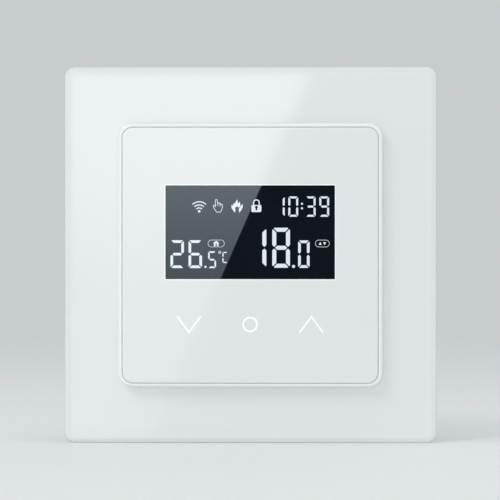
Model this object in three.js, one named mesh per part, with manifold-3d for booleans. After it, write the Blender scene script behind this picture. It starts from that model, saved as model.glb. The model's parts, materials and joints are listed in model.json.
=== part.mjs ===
// Wall thermostat for a flush box with screws 60 mm apart: a square glass frame round a
// square touch module, plugged into a mains unit that sits inside the wall.
//
// Millimetres. X runs right and Z up, as seen by the user, and the front faces -Y.
// The origin is the centre of the mounting plate's rear face, which lies on the wall.

import * as THREE from 'three';
import { mergeVertices } from 'three/addons/utils/BufferGeometryUtils.js';
import Module from 'manifold-3d';

const wasm = await Module();
wasm.setup();

// ---------------------------------------------------------------- driving dimensions

const CORNER_STEPS = 2; // half the facets of a quarter round
const FACE_CORNER_STEPS = 4; // the same, on the faces the user sees
const ROUND_SIDES = 16; // facets of a small round piece
const SKIN = 0.05; // gap between flat faces that lie on each other
const FIT = 0.3; // gap round a piece that slips into another
const CUT = 0.2; // how far a cutting shape runs past the face it opens

// Frame, from the wall forward. It is a little taller than it is wide.
const FRAME_WIDTH = 86;
const FRAME_HEIGHT = 87;
const FRAME_CORNER = 2.4;
const FRAME_OPENING = 52.8;
const FRAME_GLASS_FRONT = -9.5;
const FRAME_GLASS_REAR = -5.5;
const RIM_WIDTH = 1.0;
const RIM_DEPTH = 0.7;
const CARRIER_INSET = 0.7;
const CARRIER_WALL = 2.0;
const CARRIER_FRONT = -5.2;
const CARRIER_WEB_REAR = -3.9;
const CARRIER_REAR = -0.3;
const PEG = { radius: 1.4, x: 33, z: 29, end: -0.1 };

// Touch module.
const MODULE_SIZE = 61.2;
const MODULE_CORNER = 3.5;
const MODULE_FRONT = -12.75;
const MODULE_FLANGE_REAR = FRAME_GLASS_FRONT - FIT;
const MODULE_SHELF_FRONT = -11.1;
const SKIRT_SIZE = 51.6;
const SKIRT_WALL = 1.6;
const SKIRT_REAR = -1.6;
const GLASS_SIZE = 58.65;
const GLASS_CORNER = 2.3;
const GLASS_SEAM = 0.35;
const GLASS_FRONT = -13.0;
const GLASS_REAR = -11.4;
const WINDOW = { width: 39.1, height: 21.65, z: 5.28 };
const KEYS = { left: -14.13, centre: 0, right: 14.13 };
const KEY_Z = -16.1;
const KEY_HOLE = 5.2;
const DISPLAY = {
  halfWidth: 21.0, bottom: -7.5, top: 18.1, ledge: 1.9, front: -11.05, split: -10.1, rear: -9.2,
};
const LIGHT_GUIDE = { inset: 0.2, front: -9.15, rear: -6.95, lift: 2.2 };
const CONNECTOR = { halfWidth: 20, front: -10.05, bottom: 0.1, top: 1.7 };
const LCD_HOLDER = { margin: 2.3, sideGap: 0.2, endGap: 0.3 };
const CONTROL_BOARD = { size: 47.8, front: -6.5, rear: -4.9, post: 21.5 };
const REAR_COVER = { size: 48.0, front: -3.0, rear: -1.7, tub: 38.8, tubRear: 5.0, wall: 1.2 };
const TONGUE = { halfWidth: 4, near: 0.5, far: 1.7, end: 3 };
const HEADER = { pins: 6, pitch: 2.54, z: -14.5, pin: 0.64, pinEnd: 7.7, strip: 2.5 };
const SOCKET = { halfWidth: 8.4, halfHeight: 2.2, front: 5.3, holeEnd: 8, hole: 1.0 };

// Parts on the control board.
const SPRING = { radius: 3.6, wire: 0.25, turns: 3.5 };
const KEY_LAMP = { halfWidth: 1.6, halfHeight: 1.0, body: 0.6, lens: 0.8 };
const PROCESSOR = { left: 2, right: 12, bottom: 4, top: 14, height: 1.4 };
const RADIO = {
  left: -17.5, right: -1.5, bottom: -10, top: 12, board: 0.8, canTop: 6, height: 3.0, step: 1,
};
const BUZZER = { x: 11.5, z: -2.5, radius: 4.5, height: 4.2, port: 1, portDepth: 1.2 };
const BATTERY = { x: 3.6, z: -8, can: 3.4, cap: 2.9, height: 2.1 };
const SENSOR = { x: 19.5, y: -8.3, z: -21.5, radius: 1.2, lead: 0.22, spread: 0.6 };

// Mounting plate and the housing in the wall box.
const PLATE = { width: 76, height: 70, corner: 5, thickness: 1.2, opening: 40.6 };
const WALL_SCREW = { pitch: 60, slotWidth: 4.4, slotLength: 8 };
const HOUSING = { size: 51, corner: 3, wall: 1.6, front: 0.1, rear: 27.5 };
const VENT = { count: 5, pitch: 6, width: 1.6, front: 12, rear: 22 };
const BOARD_LEDGE = { width: 1.6, depth: 1.5, bottom: -12, top: 15 };
const LABEL = { width: 34, height: 26, z: 5, corner: 1, thickness: 0.15, recess: 0.3 };
const BOSS = { offset: 22.3, radius: 3, pilot: 1.1, pilotEnd: 9, lowerEnd: 11.6 };
const BASE_COVER = { front: 5.6, rear: 6.8 };
const COVER_POST = { radius: 1.5, x: 16, z: 18.5 };
const POWER_BOARD = { size: 47.2, front: 8.3, rear: 9.9 };

// Terminals: rising clamps that a screw turned from the rear draws up.
const POLES = 6;
const POLE_PITCH = 7.5;
const BLOCK = { halfWidth: 23.4, front: 12.2, bottom: -25.5, top: -13.7 };
const POLE_Z = -21.1;
const CHAMBER = { width: 5.8, depth: 6.6, front: 13.5, rear: 22.9 };
const CLAMP = {
  width: 5.2, depth: 5.8, wall: 0.8, front: 13.9, rear: 20.7, top: 1.5, bottom: 1.1, hole: 1.7,
};
const WIRE_ENTRY = { width: 3.6, front: 15.0, rear: 18.0 };
const BAR_SLOT = { width: 3.4, rear: 18.9, reach: 1.6 };
const TERMINAL_SCREW = { tip: 19.0, shank: 1.45, head: 2.1, headFront: 23.9, headRear: 25.7 };

// Relay on the power board.
const RELAY = { left: -15.5, right: 13.5, bottom: 6.4, top: 19.1, rear: 25.6, wall: 0.8 };
const ARMATURE = { x: 3.0, thickness: 1.2, front: 12.9, rear: 22.4, bottom: 8.5, top: 17.0 };
const RELAY_COIL = { x: -5, y: 17.4, z: 12.75, half: 7, flange: 5, winding: 4.3, core: 1.8 };
const YOKE = { left: -14.2, right: 2.6, front: 12.6, rear: 24.1, thickness: 1.2 };

// The other parts on the power board.
const CORE_LIMB = 1.8;
const CORE = { left: -21.5, right: -8.5, front: 13, rear: 19, bottom: -11, top: 2, limb: 2.1, yoke: 2 };
const COIL = { half: 4.2, front: 10.9, rear: 21.1, bottom: -8.7, top: -0.3, foot: 5.5, footTop: 11.1 };
const CAN = {
  radius: 4, height: 12, groove: 1.5, grooveDepth: 0.3, edge: 0.3, reservoirX: -1.5, outputX: 8.5, z: -1,
};
const FILM_CAPACITOR = { left: 15.2, right: 21.2, bottom: 2, top: 15, height: 12 };
const VARISTOR = { x: 10.5, y: 16, z: -9.2, radius: 4.8, thickness: 4, lead: 0.4, spread: 2.5 };
const FUSE = { x: -1.5, z: -9.3, radius: 4, height: 7.7, edge: 0.5 };

// ---------------------------------------------------------------- solids and meshes

function signedVolume(position, index) {
  const a = new THREE.Vector3();
  const b = new THREE.Vector3();
  const c = new THREE.Vector3();
  let volume = 0;
  for (let i = 0; i < index.count; i += 3) {
    a.fromBufferAttribute(position, index.getX(i));
    b.fromBufferAttribute(position, index.getX(i + 1));
    c.fromBufferAttribute(position, index.getX(i + 2));
    volume += a.dot(b.cross(c)) / 6;
  }
  return volume;
}

// A closed geometry as a solid, turned the right way out.
function solid(geometry) {
  geometry.deleteAttribute('normal');
  geometry.deleteAttribute('uv');
  const merged = mergeVertices(geometry, 1e-4);
  const triangles = Uint32Array.from(merged.index.array);
  if (signedVolume(merged.attributes.position, merged.index) < 0) {
    for (let i = 0; i < triangles.length; i += 3) {
      triangles.subarray(i, i + 2).reverse();
    }
  }
  const vertices = Float32Array.from(merged.attributes.position.array);
  return new wasm.Manifold(new wasm.Mesh({ numProp: 3, vertProperties: vertices, triVerts: triangles }));
}

function geometryOf(shape) {
  const mesh = shape.getMesh();
  const geometry = new THREE.BufferGeometry();
  geometry.setAttribute('position', new THREE.BufferAttribute(mesh.vertProperties, 3));
  geometry.setIndex(new THREE.BufferAttribute(mesh.triVerts, 1));
  geometry.computeVertexNormals();
  return geometry;
}

function union(first, ...others) {
  return others.reduce((sum, other) => sum.add(other), first);
}

function cut(first, ...others) {
  return others.reduce((rest, other) => rest.subtract(other), first);
}

function block(x0, x1, y0, y1, z0, z1) {
  const geometry = new THREE.BoxGeometry(x1 - x0, y1 - y0, z1 - z0);
  geometry.translate((x0 + x1) / 2, (y0 + y1) / 2, (z0 + z1) / 2);
  return solid(geometry);
}

// A round rod along Y.
function rod(radius, y0, y1, x = 0, z = 0, sides = ROUND_SIDES) {
  const geometry = new THREE.CylinderGeometry(radius, radius, y1 - y0, sides);
  geometry.translate(x, (y0 + y1) / 2, z);
  return solid(geometry);
}

// A piece turned about the Y axis from [radius, y] points that start and end on the axis.
function turned(profile, x = 0, z = 0, sides = ROUND_SIDES) {
  const points = profile.map(([radius, y]) => new THREE.Vector2(radius, y));
  const geometry = new THREE.LatheGeometry(points, sides);
  geometry.translate(x, 0, z);
  return solid(geometry);
}

function roundedRect(width, height, radius, x = 0, z = 0) {
  const left = x - width / 2;
  const right = x + width / 2;
  const bottom = z - height / 2;
  const top = z + height / 2;
  const quarter = Math.PI / 2;
  const shape = new THREE.Shape();
  shape.moveTo(left + radius, bottom);
  shape.lineTo(right - radius, bottom);
  shape.absarc(right - radius, bottom + radius, radius, -quarter, 0);
  shape.lineTo(right, top - radius);
  shape.absarc(right - radius, top - radius, radius, 0, quarter);
  shape.lineTo(left + radius, top);
  shape.absarc(left + radius, top - radius, radius, quarter, 2 * quarter);
  shape.lineTo(left, bottom + radius);
  shape.absarc(left + radius, bottom + radius, radius, 2 * quarter, 3 * quarter);
  shape.closePath();
  return shape;
}

// An outline in the XZ plane, solid from Y = front to Y = rear.
function slab(shape, front, rear) {
  const options = { depth: rear - front, bevelEnabled: false, curveSegments: CORNER_STEPS };
  const geometry = new THREE.ExtrudeGeometry(shape, options);
  geometry.rotateX(Math.PI / 2);
  geometry.translate(0, rear, 0);
  return solid(geometry);
}

function squareSlab(size, corner, front, rear) {
  return slab(roundedRect(size, size, corner), front, rear);
}

// A slab as wide and tall as the frame, less an inset all round.
function frameSlab(inset, corner, front, rear) {
  return slab(roundedRect(FRAME_WIDTH - 2 * inset, FRAME_HEIGHT - 2 * inset, corner), front, rear);
}

// A slab whose front edge is eased by a bevel of the given width and depth.
function easedSlab(outline, front, rear, bevelWidth, bevelDepth, steps) {
  const options = {
    depth: rear - front,
    bevelSize: bevelWidth,
    bevelOffset: -bevelWidth,
    bevelThickness: bevelDepth,
    bevelSegments: steps,
    curveSegments: FACE_CORNER_STEPS,
  };
  const geometry = new THREE.ExtrudeGeometry(outline, options);
  geometry.rotateX(Math.PI / 2);
  geometry.translate(0, rear + bevelDepth, 0);
  const excess = frameSlab(-CUT, FRAME_CORNER, rear, rear + 3 * bevelDepth);
  return cut(solid(geometry), excess);
}

function finish(color, roughness, metalness = 0) {
  return new THREE.MeshStandardMaterial({ color, roughness, metalness });
}

function addPiece(group, name, shape, material) {
  const mesh = new THREE.Mesh(geometryOf(shape), material);
  mesh.name = name;
  group.add(mesh);
  return mesh;
}

const corners = [[-1, -1], [1, -1], [1, 1], [-1, 1]];

// ---------------------------------------------------------------- finishes

const whiteGlass = () => finish(0xe9eef0, 0.06);
const whitePlastic = () => finish(0xeceff0, 0.35);
const greyPlastic = () => finish(0xb9bdbf, 0.5);
const blackPlastic = () => finish(0x1c1e20, 0.5);
const darkGlass = () => finish(0x10161b, 0.08);
const clearPlastic = () => finish(0xf4f6f2, 0.2);
const adhesive = () => finish(0xd8dadb, 0.8);
const circuitBoard = () => finish(0x1d5a3a, 0.45);
const steel = () => finish(0xb4b7b9, 0.35, 0.9);
const brass = () => finish(0xc2a25a, 0.35, 0.9);
const tinned = () => finish(0xc9cbcc, 0.3, 0.9);
const rubber = () => finish(0x3a3c3e, 0.9);
const flameRetardant = () => finish(0x2b6e4b, 0.5);

// ---------------------------------------------------------------- glass frame

function frameGlass() {
  const outline = roundedRect(FRAME_WIDTH, FRAME_HEIGHT, FRAME_CORNER);
  const plate = easedSlab(
    outline, FRAME_GLASS_FRONT, FRAME_GLASS_REAR, RIM_WIDTH, RIM_DEPTH, 1,
  );
  const opening = squareSlab(FRAME_OPENING, 3, FRAME_GLASS_FRONT - CUT, FRAME_GLASS_REAR + CUT);
  return cut(plate, opening);
}

function frameAdhesive() {
  const front = FRAME_GLASS_REAR + SKIN;
  const rear = CARRIER_FRONT - SKIN;
  return cut(
    frameSlab(1.5, 1.5, front, rear),
    squareSlab(FRAME_OPENING + 1.2, 3, front - CUT, rear + CUT),
  );
}

function frameCarrier() {
  const shell = cut(
    frameSlab(CARRIER_INSET, FRAME_CORNER - 0.5, CARRIER_FRONT, CARRIER_REAR),
    frameSlab(CARRIER_INSET + CARRIER_WALL, 1, CARRIER_WEB_REAR, CARRIER_REAR + CUT),
    squareSlab(FRAME_OPENING, 3, CARRIER_FRONT - CUT, CARRIER_WEB_REAR + CUT),
  );
  const pegs = corners.map(([x, z]) => (
    rod(PEG.radius, CARRIER_WEB_REAR - FIT, PEG.end, x * PEG.x, z * PEG.z, 12)
  ));
  return union(shell, ...pegs);
}

// ---------------------------------------------------------------- touch module

function keyHoles(radius, front, rear) {
  return Object.values(KEYS).map((x) => rod(radius, front, rear, x, KEY_Z));
}

function moduleBezel() {
  const outline = roundedRect(MODULE_SIZE, MODULE_SIZE, MODULE_CORNER);
  const flange = easedSlab(outline, MODULE_FRONT, MODULE_FLANGE_REAR, 0.5, 0.5, 2);
  const skirt = squareSlab(SKIRT_SIZE, 2.5, MODULE_FLANGE_REAR - FIT, SKIRT_REAR);
  const recess = squareSlab(
    GLASS_SIZE + 2 * GLASS_SEAM, GLASS_CORNER + GLASS_SEAM, MODULE_FRONT - CUT, MODULE_SHELF_FRONT,
  );
  const inside = squareSlab(SKIRT_SIZE - 2 * SKIRT_WALL, 1.2, MODULE_FLANGE_REAR, SKIRT_REAR + CUT);
  const displayOpening = block(
    -DISPLAY.halfWidth - 0.4, DISPLAY.halfWidth + 0.4,
    MODULE_SHELF_FRONT - CUT, MODULE_FLANGE_REAR + CUT,
    DISPLAY.bottom - 0.4, DISPLAY.top + 0.4,
  );
  const holes = keyHoles(KEY_HOLE, MODULE_SHELF_FRONT - CUT, MODULE_FLANGE_REAR + CUT);
  return cut(union(flange, skirt), recess, inside, displayOpening, ...holes);
}

function frontGlass() {
  const outline = roundedRect(GLASS_SIZE, GLASS_SIZE, GLASS_CORNER);
  return easedSlab(outline, GLASS_FRONT, GLASS_REAR, 0.25, 0.2, 1);
}

function glassAdhesive() {
  const front = GLASS_REAR + SKIN;
  const rear = MODULE_SHELF_FRONT - SKIN;
  const halfWidth = WINDOW.width / 2 + 0.4;
  const halfHeight = WINDOW.height / 2 + 0.4;
  const window = block(
    -halfWidth, halfWidth, front - CUT, rear + CUT, WINDOW.z - halfHeight, WINDOW.z + halfHeight,
  );
  const holes = keyHoles(KEY_HOLE - 0.7, front - CUT, rear + CUT);
  return cut(squareSlab(GLASS_SIZE - 0.6, 2, front, rear), window, ...holes);
}

// Two glass sheets: the front one is taller and carries the contacts on its lower ledge.
function lcdCell() {
  const { halfWidth, bottom, top, ledge, front, split, rear } = DISPLAY;
  return union(
    block(-halfWidth, halfWidth, front, split, bottom, top),
    block(-halfWidth, halfWidth, split - SKIN, rear, bottom + ledge, top),
  );
}

function lcdLightGuide() {
  const { inset, front, rear, lift } = LIGHT_GUIDE;
  const halfWidth = DISPLAY.halfWidth - inset;
  return block(-halfWidth, halfWidth, front, rear, DISPLAY.bottom + lift, DISPLAY.top - inset / 2);
}

function lcdConnector() {
  const { halfWidth, front, bottom, top } = CONNECTOR;
  const rear = CONTROL_BOARD.front - SKIN;
  return block(-halfWidth, halfWidth, front, rear, DISPLAY.bottom + bottom, DISPLAY.bottom + top);
}

function lcdHolder() {
  const height = DISPLAY.top - DISPLAY.bottom;
  const middle = (DISPLAY.top + DISPLAY.bottom) / 2;
  const front = MODULE_FLANGE_REAR + SKIN;
  const rear = CONTROL_BOARD.front - SKIN;
  const width = 2 * DISPLAY.halfWidth;
  const { margin, sideGap, endGap } = LCD_HOLDER;
  const outer = roundedRect(width + 2 * margin, height + 2 * margin, 1.5, 0, middle);
  const inner = roundedRect(width + 2 * sideGap, height + 2 * endGap, 0.3, 0, middle);
  return cut(slab(outer, front, rear), slab(inner, front - CUT, rear + CUT));
}

function controlBoard() {
  const { size, front, rear, post } = CONTROL_BOARD;
  const holes = corners.map(([x, z]) => rod(1.3, front - CUT, rear + CUT, x * post, z * post, 12));
  return cut(squareSlab(size, 1.5, front, rear), ...holes);
}

class Helix extends THREE.Curve {
  constructor(radius, start, end, turns) {
    super();
    this.radius = radius;
    this.start = start;
    this.end = end;
    this.turns = turns;
  }

  getPoint(t, target = new THREE.Vector3()) {
    const angle = 2 * Math.PI * this.turns * t;
    const y = THREE.MathUtils.lerp(this.start, this.end, t);
    return target.set(this.radius * Math.cos(angle), y, this.radius * Math.sin(angle));
  }
}

// A sensing spring between the control board and the back of the glass.
function touchSpring() {
  const { radius, wire, turns } = SPRING;
  const section = new THREE.Shape().absarc(0, 0, wire, 0, 2 * Math.PI);
  const path = new Helix(radius, CONTROL_BOARD.front - SKIN - wire, GLASS_REAR + SKIN + wire, turns);
  const steps = Math.round(turns * 10);
  const options = { steps, bevelEnabled: false, extrudePath: path, curveSegments: 3 };
  return solid(new THREE.ExtrudeGeometry(section, options));
}

function keyLamp() {
  const { halfWidth, halfHeight, body, lens } = KEY_LAMP;
  const rear = CONTROL_BOARD.front - SKIN;
  return union(
    block(-halfWidth, halfWidth, rear - body, rear, -halfHeight, halfHeight),
    rod(lens, rear - body - 0.4, rear - body + 0.1, 0, 0, 12),
  );
}

function microcontroller() {
  const { left, right, bottom, top, height } = PROCESSOR;
  const front = CONTROL_BOARD.rear + SKIN;
  return block(left, right, front, front + height, bottom, top);
}

// A small board with a metal can over its lower part.
function wirelessModule() {
  const { left, right, bottom, top, board, canTop, height, step } = RADIO;
  const front = CONTROL_BOARD.rear + SKIN;
  return union(
    block(left, right, front, front + board, bottom, top),
    block(left + step, right - step, front + board - 0.1, front + height, bottom + step, canTop),
  );
}

function buzzer() {
  const { x, z, radius, height, port, portDepth } = BUZZER;
  const front = CONTROL_BOARD.rear + SKIN;
  const rear = front + height;
  const profile = [
    [0, front], [radius, front], [radius, rear],
    [port, rear], [port, rear - portDepth], [0, rear - portDepth],
  ];
  return turned(profile, x, z);
}

function backupBattery() {
  const { x, z, can, cap, height } = BATTERY;
  const front = CONTROL_BOARD.rear + SKIN;
  const rear = front + height;
  const edge = 0.2;
  const profile = [
    [0, front], [cap, front], [can, front + can - cap], [can, rear - edge], [can - edge, rear], [0, rear],
  ];
  return turned(profile, x, z);
}

// A bead on two leads, standing forward of the board at the module's lower edge.
function roomSensor() {
  const { x, y, z, radius, lead, spread } = SENSOR;
  const bead = new THREE.SphereGeometry(radius, 12, 8);
  bead.translate(x, y, z);
  const rear = CONTROL_BOARD.front - SKIN;
  const leads = [-spread, spread].map((side) => rod(lead, y, rear, x + side, z, 6));
  return union(solid(bead), ...leads);
}

function headerX(pin) {
  return (pin - (HEADER.pins - 1) / 2) * HEADER.pitch;
}

function pinHeader() {
  const { pins, pitch, z, pin, pinEnd, strip } = HEADER;
  const halfWidth = (pins * pitch) / 2;
  const front = CONTROL_BOARD.rear + SKIN;
  const half = pin / 2;
  const body = block(-halfWidth, halfWidth, front, front + strip, z - pitch / 2, z + pitch / 2);
  const rods = [...Array(pins).keys()].map((place) => (
    block(headerX(place) - half, headerX(place) + half, front + 1, pinEnd, z - half, z + half)
  ));
  return union(body, ...rods);
}

// A lid inside the skirt, with a tub that reaches back through the mounting plate.
function moduleRearCover() {
  const { size, front, rear, tub, tubRear, wall } = REAR_COVER;
  const shell = union(
    squareSlab(size, 1, front, rear),
    squareSlab(tub, 2, rear - CUT, tubRear),
  );
  const hollow = squareSlab(tub - 2 * wall, 1, front - CUT, tubRear - wall);
  const pinSlot = block(-8.2, 8.2, tubRear - wall - CUT, tubRear + CUT, HEADER.z - 1.6, HEADER.z + 1.6);
  const boardRear = CONTROL_BOARD.rear + SKIN;
  const tip = CONTROL_BOARD.front + FIT;
  const post = [[0, front + CUT], [2, front + CUT], [2, boardRear], [1, boardRear], [1, tip], [0, tip]];
  const posts = corners.map(([x, z]) => (
    turned(post, x * CONTROL_BOARD.post, z * CONTROL_BOARD.post, 12)
  ));
  const tongues = [-1, 1].map((side) => {
    const edges = [TONGUE.near, TONGUE.far].map((out) => side * (tub / 2 + out)).sort((a, b) => a - b);
    return block(-TONGUE.halfWidth, TONGUE.halfWidth, rear - CUT, TONGUE.end, edges[0], edges[1]);
  });
  return union(cut(shell, hollow, pinSlot), ...posts, ...tongues);
}

// ---------------------------------------------------------------- mounting plate

function mountingPlate() {
  const front = -PLATE.thickness;
  const slot = (x) => slab(
    roundedRect(WALL_SCREW.slotWidth, WALL_SCREW.slotLength, WALL_SCREW.slotWidth / 2 - 0.01, x),
    front - CUT, CUT,
  );
  const opening = squareSlab(PLATE.opening, 3, front - CUT, CUT);
  const notchHalf = TONGUE.halfWidth + 2 * FIT;
  const notchReach = REAR_COVER.tub / 2 + TONGUE.far + 2 * FIT;
  const tongueNotch = block(-notchHalf, notchHalf, front - CUT, CUT, -notchReach, notchReach);
  const pegHoles = corners.map(([x, z]) => (
    rod(PEG.radius + FIT, front - CUT, CUT, x * PEG.x, z * PEG.z, 12)
  ));
  const screwHoles = corners.map(([x, z]) => turned(
    [[0, front - CUT], [2.75, front - CUT], [1.5, 0], [1.5, CUT], [0, CUT]],
    x * BOSS.offset, z * BOSS.offset,
  ));
  const halfPitch = WALL_SCREW.pitch / 2;
  return cut(
    slab(roundedRect(PLATE.width, PLATE.height, PLATE.corner), front, 0),
    opening, tongueNotch, slot(-halfPitch), slot(halfPitch), ...pegHoles, ...screwHoles,
  );
}

// A countersunk screw with a plain slot, its head flush with the plate's front.
function plateScrew() {
  const front = -PLATE.thickness;
  const body = turned([[0, front], [2.25, front], [1.2, -0.05], [0.9, 0.3], [0.9, 7.2], [0, 8]], 0, 0, 12);
  return cut(body, block(-3, 3, front - CUT, front + 0.5, -0.3, 0.3));
}

// ---------------------------------------------------------------- housing in the wall

function bossNotches(radius, front, rear) {
  return corners.map(([x, z]) => rod(radius, front, rear, x * BOSS.offset, z * BOSS.offset));
}

function rearHousing() {
  const { size, corner, wall, front, rear } = HOUSING;
  const inner = size / 2 - wall;
  const shell = cut(
    squareSlab(size, corner, front, rear),
    squareSlab(2 * inner, corner - wall, front - CUT, rear - wall + 0.1),
  );
  const bosses = corners.map(([x, z]) => (
    rod(BOSS.radius, front, z > 0 ? rear - 1 : BOSS.lowerEnd, x * BOSS.offset, z * BOSS.offset)
  ));
  const ledgeFront = POWER_BOARD.rear + SKIN;
  const ledges = [-1, 1].map((side) => {
    const edges = [inner - BOARD_LEDGE.width, inner + CUT].map((out) => side * out).sort((a, b) => a - b);
    return block(
      edges[0], edges[1], ledgeFront, ledgeFront + BOARD_LEDGE.depth, BOARD_LEDGE.bottom, BOARD_LEDGE.top,
    );
  });
  const pilots = corners.map(([x, z]) => (
    rod(BOSS.pilot, front - CUT, BOSS.pilotEnd, x * BOSS.offset, z * BOSS.offset, 12)
  ));
  const terminalNotch = block(
    -inner, inner, BLOCK.front - FIT, rear + CUT, -size / 2 - CUT, BLOCK.top + FIT,
  );
  const vents = [...Array(VENT.count).keys()].map((place) => {
    const left = (place - (VENT.count - 1) / 2) * VENT.pitch - VENT.width / 2;
    return block(left, left + VENT.width, VENT.front, VENT.rear, inner - CUT, size / 2 + CUT);
  });
  const labelRecess = slab(
    roundedRect(LABEL.width + 2 * FIT, LABEL.height + 2 * FIT, LABEL.corner + FIT, 0, LABEL.z),
    rear - LABEL.recess, rear + CUT,
  );
  return cut(union(shell, ...bosses, ...ledges), terminalNotch, labelRecess, ...pilots, ...vents);
}

// An insulating cover over the mains parts, open only for the socket.
function baseCover() {
  const { front, rear } = BASE_COVER;
  const plate = cut(
    squareSlab(POWER_BOARD.size, 1.4, front, rear),
    block(
      -SOCKET.halfWidth - FIT, SOCKET.halfWidth + FIT, front - CUT, rear + CUT,
      HEADER.z - SOCKET.halfHeight - FIT, HEADER.z + SOCKET.halfHeight + FIT,
    ),
    ...bossNotches(BOSS.radius + FIT, front - CUT, rear + CUT),
  );
  const posts = corners.map(([x, z]) => (
    rod(COVER_POST.radius, rear - CUT, POWER_BOARD.front - SKIN, x * COVER_POST.x, z * COVER_POST.z, 12)
  ));
  return union(plate, ...posts);
}

function powerBoard() {
  const { size, front, rear } = POWER_BOARD;
  const notches = bossNotches(BOSS.radius + FIT, front - CUT, rear + CUT);
  return cut(squareSlab(size, 1.4, front, rear), ...notches);
}

function socketHeader() {
  const { halfWidth, halfHeight, front, holeEnd, hole } = SOCKET;
  const { z } = HEADER;
  const half = hole / 2;
  const rear = POWER_BOARD.front - SKIN;
  const body = block(-halfWidth, halfWidth, front, rear, z - halfHeight, z + halfHeight);
  const holes = [...Array(HEADER.pins).keys()].map((pin) => (
    block(headerX(pin) - half, headerX(pin) + half, front - CUT, holeEnd, z - half, z + half)
  ));
  return cut(body, ...holes);
}

// A blank label that lies in a shallow recess, below the housing's rear face.
function ratingLabel() {
  const front = HOUSING.rear - LABEL.recess + SKIN;
  const outline = roundedRect(LABEL.width, LABEL.height, LABEL.corner, 0, LABEL.z);
  return slab(outline, front, front + LABEL.thickness);
}

// ---------------------------------------------------------------- power parts

function relayCover() {
  const { left, right, bottom, top, rear, wall } = RELAY;
  const front = POWER_BOARD.rear + FIT;
  return cut(
    block(left, right, front, rear, bottom, top),
    block(left + wall, right - wall, front - CUT, rear - wall, bottom + wall, top - wall),
  );
}

function relayBase() {
  const { left, right, bottom, top, wall } = RELAY;
  const gap = wall + 0.2;
  const front = POWER_BOARD.rear + FIT;
  return block(left + gap, right - gap, front, front + 1.8, bottom + gap, top - gap);
}

// Bobbin and winding on one axis along X.
function relayCoil() {
  const { x, y, z, half, flange, winding, core } = RELAY_COIL;
  const cheek = half - 1;
  const face = half + 0.2;
  const points = [
    [0, -half], [flange, -half], [flange, -cheek], [winding, -cheek],
    [winding, cheek], [flange, cheek], [flange, half], [core, half], [core, face], [0, face],
  ].map(([radius, along]) => new THREE.Vector2(radius, along));
  const geometry = new THREE.LatheGeometry(points, ROUND_SIDES);
  geometry.rotateZ(-Math.PI / 2);
  geometry.translate(x, y, z);
  return solid(geometry);
}

function relayYoke() {
  const { left, right, front, rear, thickness } = YOKE;
  const long = rear - thickness;
  return union(
    block(left, right, long, rear, ARMATURE.bottom, ARMATURE.top),
    block(left, left + thickness, front, long + CUT, ARMATURE.bottom, ARMATURE.top),
  );
}

function relayArmature() {
  const { x, thickness, front, rear, bottom, top } = ARMATURE;
  return union(
    block(x, x + thickness, front, rear, bottom, top),
    block(x + thickness - CUT, x + 5, front, front + 1, bottom + 2.5, top - 2.5),
  );
}

function transformerCore() {
  const { left, right, front, rear, bottom, top, limb, yoke } = CORE;
  const middle = (left + right) / 2;
  const window = [bottom + yoke, top - yoke];
  return cut(
    block(left, right, front, rear, bottom, top),
    block(left + limb, middle - CORE_LIMB, front - CUT, rear + CUT, ...window),
    block(middle + CORE_LIMB, right - limb, front - CUT, rear + CUT, ...window),
  );
}

function transformerCoil() {
  const { half, front, rear, bottom, top, foot, footTop } = COIL;
  const middle = (CORE.left + CORE.right) / 2;
  const bore = CORE_LIMB + CUT;
  const winding = union(
    block(middle - half, middle + half, front, rear, bottom, top),
    block(middle - foot, middle + foot, POWER_BOARD.rear + SKIN, footTop, CORE.bottom + 1, CORE.top - 1),
  );
  const limbHole = block(
    middle - bore, middle + bore, CORE.front - CUT, CORE.rear + CUT, CORE.bottom - 1, CORE.top + 1,
  );
  return cut(winding, limbHole);
}

// An aluminium can with the rolled groove near its seal.
function canCapacitor() {
  const { radius, height, groove, grooveDepth, edge } = CAN;
  const front = POWER_BOARD.rear + SKIN;
  const rear = front + height;
  const neck = front + groove;
  return turned([
    [0, front], [radius - edge, front], [radius, front + edge],
    [radius, neck - edge], [radius - grooveDepth, neck], [radius, neck + edge],
    [radius, rear - edge], [radius - edge, rear], [0, rear],
  ]);
}

function filmCapacitor() {
  const { left, right, bottom, top, height } = FILM_CAPACITOR;
  const front = POWER_BOARD.rear + SKIN;
  return block(left, right, front, front + height, bottom, top);
}

function varistor() {
  const { x, y, z, radius, thickness, lead, spread } = VARISTOR;
  const disc = new THREE.CylinderGeometry(radius, radius, thickness, ROUND_SIDES);
  disc.rotateX(Math.PI / 2);
  disc.translate(x, y, z);
  const front = POWER_BOARD.rear + SKIN;
  const leads = [-spread, spread].map((side) => rod(lead, front, y - 3, x + side, z, 6));
  return union(solid(disc), ...leads);
}

function fuse() {
  const { x, z, radius, height, edge } = FUSE;
  const front = POWER_BOARD.rear + SKIN;
  const rear = front + height;
  const profile = [[0, front], [radius, front], [radius, rear - edge], [radius - edge, rear], [0, rear]];
  return turned(profile, x, z);
}

// ---------------------------------------------------------------- terminals

function poleX(pole) {
  return (pole - (POLES - 1) / 2) * POLE_PITCH;
}

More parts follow.
